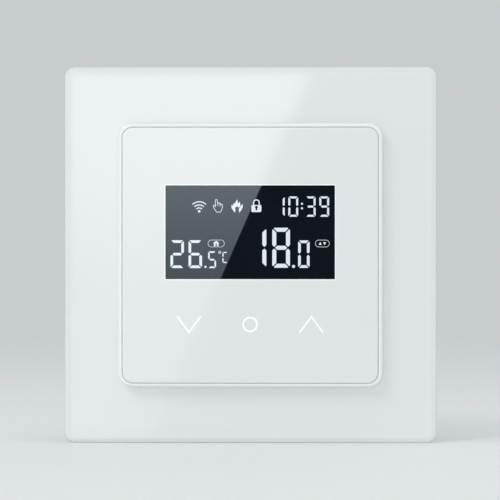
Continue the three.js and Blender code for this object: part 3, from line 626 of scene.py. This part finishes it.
def frame_carrier():
    low, high = box_mm("frame_carrier")
    sides = sides_mm("frame_carrier")
    front, rim = low.y, CARRIER_RIM
    wall, web = CARRIER_WALL, CARRIER_WEB_REAR
    edge, groove = CARRIER_EASE, CARRIER_GROOVE
    outline = [(edge, front), (0, front + edge), (0, rim - edge), (edge, rim)]
    outline += [(wall - edge, rim), (wall, rim - edge), (wall, web - groove)]
    outline += [(wall + 0.3 * groove, web - 0.3 * groove), (wall + groove, web)]
    rings = [inset_ring(sides, CARRIER_CORNER, inset, y) for inset, y in outline]
    for y in (web, front):
        rings.append(rounded_ring(FRAME_OPENING, FRAME_OPENING, OPENING_CORNER, y))
    bm = bmesh.new()
    add_loft(bm, rings, closed=True)
    tip = high.y
    for side_x in (-1, 1):
        for side_z in (-1, 1):
            profile = [
                (PEG_RADIUS, web - PEG_ROOT), (PEG_RADIUS, tip - PEG_POINT),
                (PEG_RADIUS - PEG_POINT, tip),
            ]
            add_turned(bm, profile, side_x * PEG_X, side_z * PEG_Z)
    solid_piece(
        "frame_carrier_body", bm, [finishes["white_plastic"]], "outer_frame",
        ["frame_carrier"],
    )


# ------------------------------------------------------------------ touch module


def module_bezel():
    low, high = box_mm("module_bezel")
    sides = sides_mm("module_bezel")
    size = sides[0]
    front, rear = low.y, high.y
    seam = (size - sides_mm("front_glass")[0]) / 2 - GLASS_SEAM
    flange = box_mm("frame_glass")[0].y - FLANGE_GAP
    skirt = (size - SKIRT_SIZE) / 2
    inner = skirt + SKIRT_WALL
    shelf = inner + SHELF_WIDTH
    seam_corner = GLASS_CORNER + GLASS_SEAM + seam
    ledge = front + SEAM_DEPTH
    near_glass = seam + GLASS_SEAM - GLASS_GROWTH - GLASS_FIT
    rings = [inset_ring(sides, seam_corner, near_glass, SHELF_FRONT)]
    rings.append(inset_ring(sides, seam_corner, near_glass, ledge))
    rings.append(inset_ring(sides, seam_corner, seam, ledge))
    rings.append(inset_ring(sides, seam_corner, seam, front + LIP_EASE))
    rings.append(inset_ring(sides, seam_corner, seam - LIP_EASE, front))
    rings.append(inset_ring(sides, seam_corner, seam - LIP_FLAT, front))
    # Band 1, the lip's front, has the painted highlight; band 2, its rounded side and wall, a
    # faint painted glow.
    bands = [0, 0, 0, 1, 1]
    for inset, depth in reversed(quarter_round(LIP_WIDTH, LIP_DEPTH, 8)):
        rings.append(inset_ring(sides, MODULE_CORNER, inset, front + depth))
    rings.append(inset_ring(sides, MODULE_CORNER, 0, flange))
    bands += [2] * (len(rings) - 1 - len(bands))
    for inset, y, corner in (
        (skirt, flange, SKIRT_CORNER),
        (skirt, rear - SKIRT_EASE, SKIRT_CORNER),
        (skirt + SKIRT_EASE, rear, SKIRT_CORNER - SKIRT_EASE),
        (inner - SKIRT_INNER_EASE, rear, SKIRT_INNER_CORNER + SKIRT_INNER_EASE),
        (inner, rear - SKIRT_INNER_EASE, SKIRT_INNER_CORNER),
        (inner, flange, SKIRT_INNER_CORNER),
        (shelf, flange, SHELF_CORNER),
        (shelf, SHELF_FRONT, SHELF_CORNER),
    ):
        width = size - 2 * inset
        rings.append(rounded_ring(width, width, corner, y))
    bands += [0] * (len(rings) - len(bands))
    bm = bmesh.new()
    add_loft(bm, rings, bands, closed=True)
    solid_piece(
        "module_bezel_body", bm,
        [finishes["white_plastic"], edge_painted_highlight.material, lip_side_painted_glow.material],
        "control_module", ["module_bezel"],
    )


def window_mm():
    """The clear window of the printed glass: (left, right, bottom, top)."""
    low, high = box_mm("lcd_cell")
    return (
        low.x + WINDOW_MARGIN_X, high.x - WINDOW_MARGIN_X,
        low.z + WINDOW_MARGIN_Z, high.z - WINDOW_MARGIN_Z,
    )


def front_glass():
    low, high = box_mm("front_glass")
    sides = sides_mm("front_glass")
    front, rear = low.y, high.y
    left, right, bottom, top = window_mm()
    width, height = right - left, top - bottom
    x, z = (left + right) / 2, (bottom + top) / 2
    ease = GLASS_ROUND_DEPTH
    rings = [inset_ring(sides, GLASS_CORNER, ease, rear)]
    rings.append(inset_ring(sides, GLASS_CORNER, -GLASS_GROWTH, rear - ease))
    for inset, depth in quarter_round(GLASS_ROUND_WIDTH, ease, 5):
        rings.append(inset_ring(sides, GLASS_CORNER, inset - GLASS_GROWTH, front + depth))
    # The glass's rounded edge has the painted highlight.
    bands = [3] * (len(rings) - 1)
    rings.append(inset_ring(sides, GLASS_CORNER, PRINT_INSET, front))
    bands += [0, 0, 0]
    rings.append(rounded_ring(width + 2 * WINDOW_LINE, height + 2 * WINDOW_LINE, 0, front, x, z))
    rings.append(rounded_ring(width, height, 0, front, x, z))
    bands[len(rings) - 2] = 1
    bands.append(2)
    bm = bmesh.new()
    add_loft(bm, rings, bands)
    solid_piece(
        "front_glass_body", bm,
        [white_print.material, window_line_glow, window_black.material, edge_painted_highlight.material],
        "control_module", ["front_glass"],
    )


frame_glass()
frame_carrier()
module_bezel()
front_glass()

# ------------------------------------------------------------------ display

SEGMENTS = {
    "0": "abcdef", "1": "bc", "2": "abged", "3": "abgcd", "4": "fgbc", "5": "afgcd",
    "6": "afgecd", "8": "abcdefg", "9": "abgfcd", "C": "afed",
}


def seven_segment(character, x, z, width, height, stem):
    """Mitred segments, stem thick, with small gaps; x and z are the lower left corner."""
    gap = 0.08 + stem * 0.13
    trim = stem * 0.6
    half = stem / 2
    middle = height / 2

    def crossbar():
        end = [
            (trim, height), ((trim + gap) / 2, height - (trim - gap) / 2),
            (stem + gap, height - stem),
        ]
        other = [(width - u, v) for u, v in reversed(end)]
        return end + other

    def upright():
        return [
            (0, height - trim), ((trim - gap) / 2, height - (trim + gap) / 2),
            (stem, height - stem - gap), (stem, middle + half + gap),
            (half, middle + gap), (0, middle + half + gap),
        ]

    def bridge():
        end = [
            (stem + gap, middle + half), (half + gap, middle), (stem + gap, middle - half),
        ]
        other = [(width - u, v) for u, v in reversed(end)]
        return end + other

    shapes = {
        "a": crossbar(),
        "d": [(u, height - v) for u, v in crossbar()],
        "f": upright(),
        "b": [(width - u, v) for u, v in upright()],
        "e": [(u, height - v) for u, v in upright()],
        "c": [(width - u, height - v) for u, v in upright()],
        "g": bridge(),
    }
    return [[(x + u, z + v) for u, v in shapes[s]] for s in SEGMENTS[character]]


def leaf(x0, z0, x1, z1, half):
    """A flame's tongue: round at its foot, pointed at its tip."""
    foot, tip = Vector((x0, z0)), Vector((x1, z1))
    along = tip - foot
    side = Vector((-along.y, along.x)).normalized() * half
    points = []
    for share, spread in ((0.0, 0.62), (0.18, 0.95), (0.4, 1.0), (0.62, 0.7), (0.82, 0.34)):
        points.append((share, spread))
    left = [foot + along * s + side * w for s, w in points]
    right = [foot + along * s - side * w for s, w in reversed(points)]
    base = foot - along.normalized() * half * 0.55
    return [base, *right[::-1], tip, *left[::-1]]


def wireless_mark(x, z):
    shapes = [disc(x, z + 0.48, 0.29)]
    for radius in (0.87, 1.56, 2.28):
        shapes += stroke(arc(x, z + 0.40, radius, 49, 131, 16), 0.24)
    return shapes


def hand_mark(x, z):
    """An outlined hand with one finger up."""
    finger = arc(0.80, 3.02, 0.24, 180, 0, 8)
    knuckles = [
        p
        for centre, top in ((1.27, 2.28), (1.68, 2.12), (2.08, 1.88))
        for p in arc(centre, top, 0.20, 165, 15, 6)
    ]
    palm = [(2.30, 1.15), (2.05, 0.45), (1.88, 0.0), (0.88, 0.0), (0.60, 0.42)]
    thumb = [(0.14, 1.20), (0.02, 1.66), (0.24, 1.86), (0.56, 1.40)]
    outline = finger + [(1.04, 2.2)] + knuckles + palm + thumb
    wide, tall = 0.92, 0.89
    outline = [(x + wide * u, z + tall * v) for u, v in outline]
    shapes = ribbon(outline, 0.13, closed=True)
    for u, top in ((1.06, 2.1), (1.48, 2.15), (1.88, 1.98)):
        crease = [(x + wide * u, z + tall * 1.55), (x + wide * u, z + tall * top)]
        shapes += ribbon(crease, 0.10)
    return shapes


def flame_mark(x, z):
    tongues = (
        (-0.98, 0.85, -1.40, 1.95, 0.30), (-0.66, 1.15, -0.78, 2.45, 0.34),
        (-0.22, 1.55, 0.0, 3.25, 0.36), (0.38, 1.40, 0.62, 2.70, 0.34),
        (0.90, 0.90, 1.36, 2.10, 0.32),
        (-0.92, 1.15, -0.52, 0.0, 0.34), (0.88, 1.15, 0.52, 0.0, 0.34),
    )
    wide, tall = 0.91, 0.94
    return [
        leaf(x + wide * a, z + tall * b, x + wide * c, z + tall * d, wide * half)
        for a, b, c, d, half in tongues
    ]


def padlock_mark(x, z):
    body = [(p[0], p[2]) for p in rounded_ring(2.28, 1.62, 0.26, 0, x, z + 1.22)]
    foot, bend, radius = z + 1.98, z + 2.58, 0.64
    shackle = [(x + radius, foot), (x + radius, bend)]
    shackle += arc(x, bend, radius, 0, 180, 14)[1:] + [(x - radius, foot)]
    return [body] + ribbon(shackle, 0.26)


def keyhole_mark(x, z):
    neck, foot = z + 1.42, z + 0.80
    stem = [(x - 0.14, neck), (x - 0.2, foot), (x + 0.2, foot), (x + 0.14, neck)]
    return [disc(x, z + 1.52, 0.34, 20), stem]


def pill(x, z, width, height):
    outline = rounded_ring(width, height, height / 2 - 0.01, 0, x, z)
    return ribbon([(p[0], p[2]) for p in outline], 0.09, closed=True)


def house_mark(x, z):
    roof = [(x - 0.78, z), (x + 0.78, z), (x, z + 0.64)]
    walls = [bar(x + side - 0.19, x + side + 0.19, z - 0.62, z) for side in (-0.33, 0.33)]
    return [roof] + walls


def arrows_mark(x, z):
    up = [(x - 0.85, z - 0.3), (x - 0.15, z - 0.3), (x - 0.5, z + 0.38)]
    down = [(x + 0.15, z + 0.3), (x + 0.85, z + 0.3), (x + 0.5, z - 0.38)]
    return [up, down]


def display():
    """Everything the display shows, laid out from the window's lower left corner."""
    left, _, bottom, _ = window_mm()
    front = box_mm("front_glass")[0].y - PRINT_RISE

    def show(name, shapes, material=segment_light, rise=0.0):
        flat_piece(name, shapes, front - rise, material, "control_module")

    def digits(text, right_ends, base, width, height, stem):
        shapes = []
        for character, right in zip(text, right_ends):
            shapes += seven_segment(
                character, left + right - width, bottom + base, width, height, stem
            )
        return shapes

    row = bottom + 15.08
    clock = digits("1039", (27.53, 30.62, 34.64, 37.76), 14.42, 2.26, 4.67, 0.46)
    clock += [disc(left + 31.50, bottom + v, 0.24) for v in (16.35, 17.39)]
    show("clock_digits", clock)
    show("wireless_mark", wireless_mark(left + 7.81, row + 0.1))
    show("hand_mark", hand_mark(left + 11.03, row + 0.39))
    show("flame_mark", flame_mark(left + 16.56, row + 0.28))
    show("padlock_mark", padlock_mark(left + 21.0, row))
    show("padlock_keyhole", keyhole_mark(left + 21.0, row), keyhole_dark.material, 0.004)

    room = digits("26", (4.29, 8.46), 2.56, 3.12, 6.43, 0.62)
    room += [disc(left + 9.24, bottom + 2.84, 0.26)]
    room += digits("5", (11.70,), 2.56, 1.84, 3.88, 0.38)
    room += digits("C", (14.40,), 3.74, 1.24, 2.56, 0.27)
    room += ribbon(disc(left + 12.54, bottom + 6.2, 0.25, 20), 0.14, closed=True)
    show("room_digits", room)
    centre = (left + 11.72, bottom + 8.24)
    show("room_tag", pill(*centre, 3.75, 1.58) + house_mark(*centre))

    target = digits("18", (23.29, 28.74), 2.65, 4.08, 9.22, 0.92)
    target += [disc(left + 29.56, bottom + 2.96, 0.36)]
    target += digits("0", (33.26,), 2.63, 2.64, 6.32, 0.62)
    show("target_digits", target)
    centre = (left + 36.21, bottom + 8.24)
    show("target_tag", pill(*centre, 3.20, 1.58) + arrows_mark(*centre))


def key_marks():
    front = box_mm("front_glass")[0].y - PRINT_RISE
    half_width, half_height, line = 2.67, 1.79, 0.35
    ring_radius, ring_line = 1.59, 0.41
    for place_name, turn in (("left", 1), ("right", -1)):
        centre = middle_mm(f"touch_spring_{place_name}")
        corner = [(-half_width, half_height), (0, -half_height), (half_width, half_height)]
        points = [(centre.x + u, centre.z + KEY_MARK_RISE + turn * v) for u, v in corner]
        flat_piece(
            f"key_mark_{place_name}", stroke(points, line), front, key_light,
            "control_module",
        )
    centre = middle_mm("touch_spring_centre")
    circle = disc(centre.x, centre.z + KEY_MARK_RISE, ring_radius, 56)
    flat_piece(
        "key_mark_centre", ribbon(circle, ring_line, closed=True), front, key_light,
        "control_module",
    )


display()
key_marks()

# ------------------------------------------------------------------ housing in the wall

POLES = 6


def pole_x(pole):
    return middle_mm(f"terminal_screw_{pole + 1}").x


def rear_housing():
    low, high = box_mm("rear_housing")
    block_low, block_high = box_mm("terminal_block")
    label_low = box_mm("rating_label")[0]
    sides = sides_mm("rear_housing")
    front, rear = low.y, high.y
    inner = sides[0] / 2 - HOUSING_WALL
    rings = [inset_ring(sides, HOUSING_CORNER, HOUSING_WALL, rear - HOUSING_WALL)]
    rings.append(inset_ring(sides, HOUSING_CORNER, HOUSING_WALL, front))
    rings.append(inset_ring(sides, HOUSING_CORNER, HOUSING_EASE, front))
    rings.append(inset_ring(sides, HOUSING_CORNER, 0, front + HOUSING_EASE))
    for inset, depth in quarter_round(HOUSING_ROUNDING, HOUSING_ROUNDING):
        rings.append(inset_ring(sides, HOUSING_CORNER, inset, rear - depth))
    bm = bmesh.new()
    add_loft(bm, rings)
    tidy_faces(bm)
    obj = make_object("rear_housing_body", bm, [finishes["grey_plastic"]])
    cutter = bmesh.new()
    add_box(
        cutter, (-inner, block_low.y - BLOCK_GAP, low.z - 1),
        (inner, rear + 1, block_high.z + BLOCK_GAP),
    )
    for vent in range(VENTS):
        x = (vent - (VENTS - 1) / 2) * VENT_PITCH
        add_box(
            cutter, (x - VENT_WIDTH / 2, VENT_START, inner - 1),
            (x + VENT_WIDTH / 2, VENT_END, high.z + 1),
        )
    label_width, label_height = sides_mm("rating_label")
    add_loft(cutter, [
        rounded_ring(
            label_width + 2 * LABEL_GAP, label_height + 2 * LABEL_GAP,
            LABEL_CORNER + LABEL_GAP, y, 0, middle_mm("rating_label").z,
        )
        for y in (label_low.y - LABEL_SEAT, rear + 1)
    ])
    carve(obj, cutter)
    soften(obj, 0.25)
    smooth(obj)
    place(obj, "base", ["rear_housing"])


def terminal_block():
    low, high = box_mm("terminal_block")
    bm = bmesh.new()
    add_box(bm, low, high)
    tidy_faces(bm)
    obj = make_object("terminal_block_body", bm, [finishes["green_plastic"]])
    cutter = bmesh.new()
    for pole in range(POLES):
        x = pole_x(pole)
        screw_high = box_mm(f"terminal_screw_{pole + 1}")[1]
        clamp_low, clamp_high = box_mm(f"terminal_clamp_{pole + 1}")
        z = (clamp_low.z + clamp_high.z) / 2
        chamber_top = clamp_high.z + CLAMP_END_GAP
        add_box(
            cutter,
            (clamp_low.x - CLAMP_GAP, clamp_low.y - CLAMP_END_GAP, clamp_low.z - CLAMP_END_GAP),
            (clamp_high.x + CLAMP_GAP, clamp_high.y + CLAMP_TRAVEL_ROOM, chamber_top),
        )
        add_box(
            cutter, (x - WIRE_HALF, WIRE_FRONT, low.z - 1), (x + WIRE_HALF, WIRE_REAR, z)
        )
        add_box(
            cutter, (x - SLOT_HALF, low.y - 1, z),
            (x + SLOT_HALF, SLOT_REAR, chamber_top + SLOT_HEADROOM),
        )
        bore = screw_high.x - x + CLAMP_GAP
        shank = [(SHANK_RADIUS, SHANK_FRONT), (SHANK_RADIUS, SHANK_REAR)]
        add_turned(cutter, shank, x, z, 32)
        add_turned(cutter, [(bore, screw_high.y - HEAD_DEPTH), (bore, high.y + 1)], x, z)
    carve(obj, cutter)
    soften(obj, 0.2)
    smooth(obj)
    place(obj, "base", ["terminal_block"])


def contact_bars():
    """The fixed bar that each wire is pressed on, bent forward to the power board."""
    board_rear = box_mm("power_board")[1].y
    bm = bmesh.new()
    for pole in range(POLES):
        x = pole_x(pole)
        z = middle_mm(f"terminal_clamp_{pole + 1}").z
        outline = [
            (BAR_FRONT, z - BAR_FOOT), (BAR_REAR, z - BAR_FOOT), (BAR_REAR, z + BAR_TOP),
            (board_rear + 0.1, z + BAR_TOP), (board_rear + 0.1, z + BAR_STEP),
            (BAR_FRONT, z + BAR_STEP),
        ]
        ends = [
            [bm.verts.new(Vector((side, y, v)) * MM) for y, v in outline]
            for side in (x - BAR_HALF, x + BAR_HALF)
        ]
        bm.faces.new(ends[0])
        bm.faces.new(ends[1])
        for i in range(len(outline)):
            j = (i + 1) % len(outline)
            bm.faces.new((ends[0][i], ends[0][j], ends[1][j], ends[1][i]))
    tidy_faces(bm)
    obj = make_object("contact_bars", bm, [finishes["brass"]])
    soften(obj, 0.15)
    smooth(obj)
    place(obj, "base")


def rating_label():
    """A label without words: an empty table over a plain wiring diagram."""
    low, high = box_mm("rating_label")
    z = middle_mm("rating_label").z
    width, height = sides_mm("rating_label")
    bm = bmesh.new()
    add_loft(bm, [rounded_ring(width, height, LABEL_CORNER, y, 0, z) for y in (low.y, high.y)])
    solid_piece(
        "rating_label_body", bm, [finishes["label"]], "base", ["rating_label"]
    )
    line = LABEL_LINE
    left, right = low.x + LABEL_MARGIN, high.x - LABEL_MARGIN
    foot, top = low.z + LABEL_MARGIN, high.z - LABEL_MARGIN
    shapes = ribbon([(left, foot), (right, foot), (right, top), (left, top)], line, closed=True)
    for share in TABLE_ROWS:
        level = low.z + height * share
        shapes.append(bar(left, right, level, level + line))
    divide = left + (right - left) * TABLE_DIVIDE
    shapes.append(bar(divide, divide + line, low.z + height * TABLE_ROWS[0], top))
    ring, joint = low.z + DIAGRAM_RINGS, low.z + DIAGRAM_JOINT
    for pole in range(POLES):
        x = pole_x(pole) * DIAGRAM_PITCH
        shapes += ribbon(disc(x, ring, DIAGRAM_RING_RADIUS, 20), line, closed=True)
        tip = joint + pole % 2 * DIAGRAM_STEP
        shapes.append(bar(x - line / 2, x + line / 2, ring + DIAGRAM_RING_RADIUS, tip))
    for pole in range(0, POLES, 2):
        x = pole_x(pole) * DIAGRAM_PITCH
        following = pole_x(pole + 1) * DIAGRAM_PITCH
        shapes.append(bar(x, following, joint, joint + line))
    flat_piece(
        "rating_label_rules", shapes, high.y + LABEL_PRINT_RISE, finishes["black_plastic"],
        "base", facing=-1,
    )


def pole_numbers():
    """The number of each terminal beside its screw, read from the rear."""
    high = box_mm("terminal_block")[1]
    size = (NUMBER_WIDTH, NUMBER_HEIGHT, NUMBER_STEM)
    shapes = []
    for pole in range(POLES):
        x = pole_x(pole)
        for shape in seven_segment(str(pole + 1), -NUMBER_WIDTH / 2, 0, *size):
            shapes.append([(x - u, high.z - NUMBER_DROP + v) for u, v in shape])
    flat_piece(
        "pole_numbers", shapes, high.y + NUMBER_RISE, finishes["white_plastic"],
        "base", facing=-1,
    )


rear_housing()
terminal_block()
contact_bars()
rating_label()
pole_numbers()

# ------------------------------------------------------------------ stage

# The stage's lengths are metres. Only the places that the glass mirrors are millimetres.
FLOOR_GAP, FLOOR_REACH, FLOOR_FADE_REACH = 0.00005, 8.0, 0.80
FLOOR_Z = START_BOUNDS[0].z - FLOOR_GAP
BACKDROP = (0.578, 0.604, 0.617)


def floor():
    """A pale floor that turns into the backdrop's colour with distance."""
    bm = bmesh.new()
    corners = bar(-FLOOR_REACH, FLOOR_REACH, -FLOOR_REACH, FLOOR_REACH)
    bm.faces.new([bm.verts.new((x, y, 0)) for x, y in corners])
    surface = Surface("floor", (0.82, 0.83, 0.826), 0.6, ior=1.3)
    surface.mottle(60.0, 0.006)
    away = surface.add("ShaderNodeVectorMath", operation="LENGTH")
    surface.link(surface.place, away.inputs[0])
    glow = surface.add("ShaderNodeEmission")
    glow.inputs["Color"].default_value = (*BACKDROP, 1.0)
    mix = surface.add("ShaderNodeMixShader")
    surface.link(surface.ramp(away.outputs["Value"], 0.0, FLOOR_FADE_REACH), mix.inputs[0])
    surface.link(surface.shader.outputs[0], mix.inputs[1])
    surface.link(glow.outputs[0], mix.inputs[2])
    output = surface.tree.nodes["Material Output"]
    surface.link(mix.outputs[0], output.inputs["Surface"])
    obj = make_object("floor", bm, [surface.material])
    obj.location = (0, -0.12, FLOOR_Z)
    obj.visible_glossy = False


def card(name, corners, color, fade=None):
    """A lit card that only glossy surfaces see; fade is (low, high, strengths there)."""
    bm = bmesh.new()
    bm.faces.new([bm.verts.new(c) for c in corners])
    surface = Surface(name, (0, 0, 0), 1.0)
    glow = surface.add("ShaderNodeEmission")
    glow.inputs["Color"].default_value = (*color, 1.0)
    if fade:
        split = surface.add("ShaderNodeSeparateXYZ")
        surface.link(surface.place, split.inputs[0])
        surface.link(surface.ramp(split.outputs["Z"], *fade), glow.inputs["Strength"])
    output = surface.tree.nodes["Material Output"]
    surface.link(glow.outputs[0], output.inputs["Surface"])
    obj = make_object(name, bm, [surface.material])
    obj.visible_camera = False
    obj.visible_diffuse = False
    obj.visible_shadow = False
    obj.visible_transmission = False


def lamp(name, place_at, size, power, mirrored=True):
    """A round soft lamp that faces the thermostat; mirrored means that gloss shows it."""
    data = bpy.data.lights.new(name, "AREA")
    data.shape, data.size, data.energy = "DISK", size, power
    obj = bpy.data.objects.new(name, data)
    scene.collection.objects.link(obj)
    obj.location = place_at
    obj.rotation_mode = "QUATERNION"
    obj.rotation_quaternion = (-Vector(place_at)).to_track_quat("-Z", "Y")
    obj.visible_glossy = mirrored


CAMERA_ELEVATION, CAMERA_TURN = math.radians(1.2), math.radians(1.2)
CAMERA_REACH = 1.0
SENSOR = 36.0
# The glass frame's share of the picture's width.
FRAME_SHARE = 0.7434
AIM = Vector((-0.0001, box_mm("frame_glass")[0].y * MM, 0.00114))


def camera():
    """In front of the thermostat, a little above it, with a long lens."""
    level = math.cos(CAMERA_ELEVATION)
    back = Vector((
        math.sin(CAMERA_TURN) * level, -math.cos(CAMERA_TURN) * level,
        math.sin(CAMERA_ELEVATION),
    ))
    low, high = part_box("frame_glass")
    data = bpy.data.cameras.new("camera")
    data.sensor_width = SENSOR
    data.lens = SENSOR * FRAME_SHARE * CAMERA_REACH / (high.x - low.x)
    data.clip_start, data.clip_end = 0.01, 50
    obj = bpy.data.objects.new("camera", data)
    scene.collection.objects.link(obj)
    obj.location = AIM + back * CAMERA_REACH
    obj.rotation_mode = "QUATERNION"
    obj.rotation_quaternion = (-back).to_track_quat("-Z", "Y")
    scene.camera = obj
    return obj


CARD_DISTANCE = 0.40


def reflections(eye):
    """Cards behind the camera: the glass mirrors one slanted edge, bright to its left."""
    front = AIM.y
    behind = front - CARD_DISTANCE
    grow = (front - behind) / (front - eye.location.y) + 1

    def seen(x, z):
        """The place on the card that the front mirrors at x, z (millimetres)."""
        at = Vector((x * MM, z * MM))
        height = Vector((eye.location.x, eye.location.z))
        return at * grow - height * (grow - 1)

    # The bright card's right edge crosses z = 0 at x = cross and leans to the right.
    slant, cross = 0.438, -4.45
    left, bottom, top = -90, -70, 60
    corners = []
    for x, z in (
        (left, bottom), (cross + slant * bottom, bottom), (cross + slant * top, top), (left, top),
    ):
        at = seen(x, z)
        corners.append((at.x, behind, at.y))
    low, high = seen(0, -20).y, seen(0, 28).y
    card("softbox", corners, (1.0, 1.0, 1.0), (low, high, 1.55, 4.0))
    shade = [seen(x, z) for x, z in bar(-100, 100, -80, 75)]
    card("shade", [(p.x, behind - 0.01, p.y) for p in shade], (0.10, 0.105, 0.11))


floor()
eye = camera()
reflections(eye)
lamp("key", (-0.8, -0.95, 1.05), 0.8, 5.2)
lamp("front_fill", (-0.05, -2.5, 0.12), 0.5, 19.0, mirrored=False)
lamp("top_fill", (0.1, -0.15, 2.5), 0.8, 7.5, mirrored=False)
lamp("left_fill", (-2.5, -0.1, 0.3), 0.6, 12.0, mirrored=False)
lamp("right_fill", (2.5, -0.1, 0.3), 0.6, 12.0, mirrored=False)
lamp("back_fill", (0.7, 1.5, 1.1), 1.6, 2.5)

world = bpy.data.worlds.new("studio")
world.use_nodes = True
background = world.node_tree.nodes["Background"]
background.inputs["Color"].default_value = (*BACKDROP, 1.0)
background.inputs["Strength"].default_value = 1.0
scene.world = world
scene.view_settings.view_transform = "Standard"
scene.view_settings.look = "None"
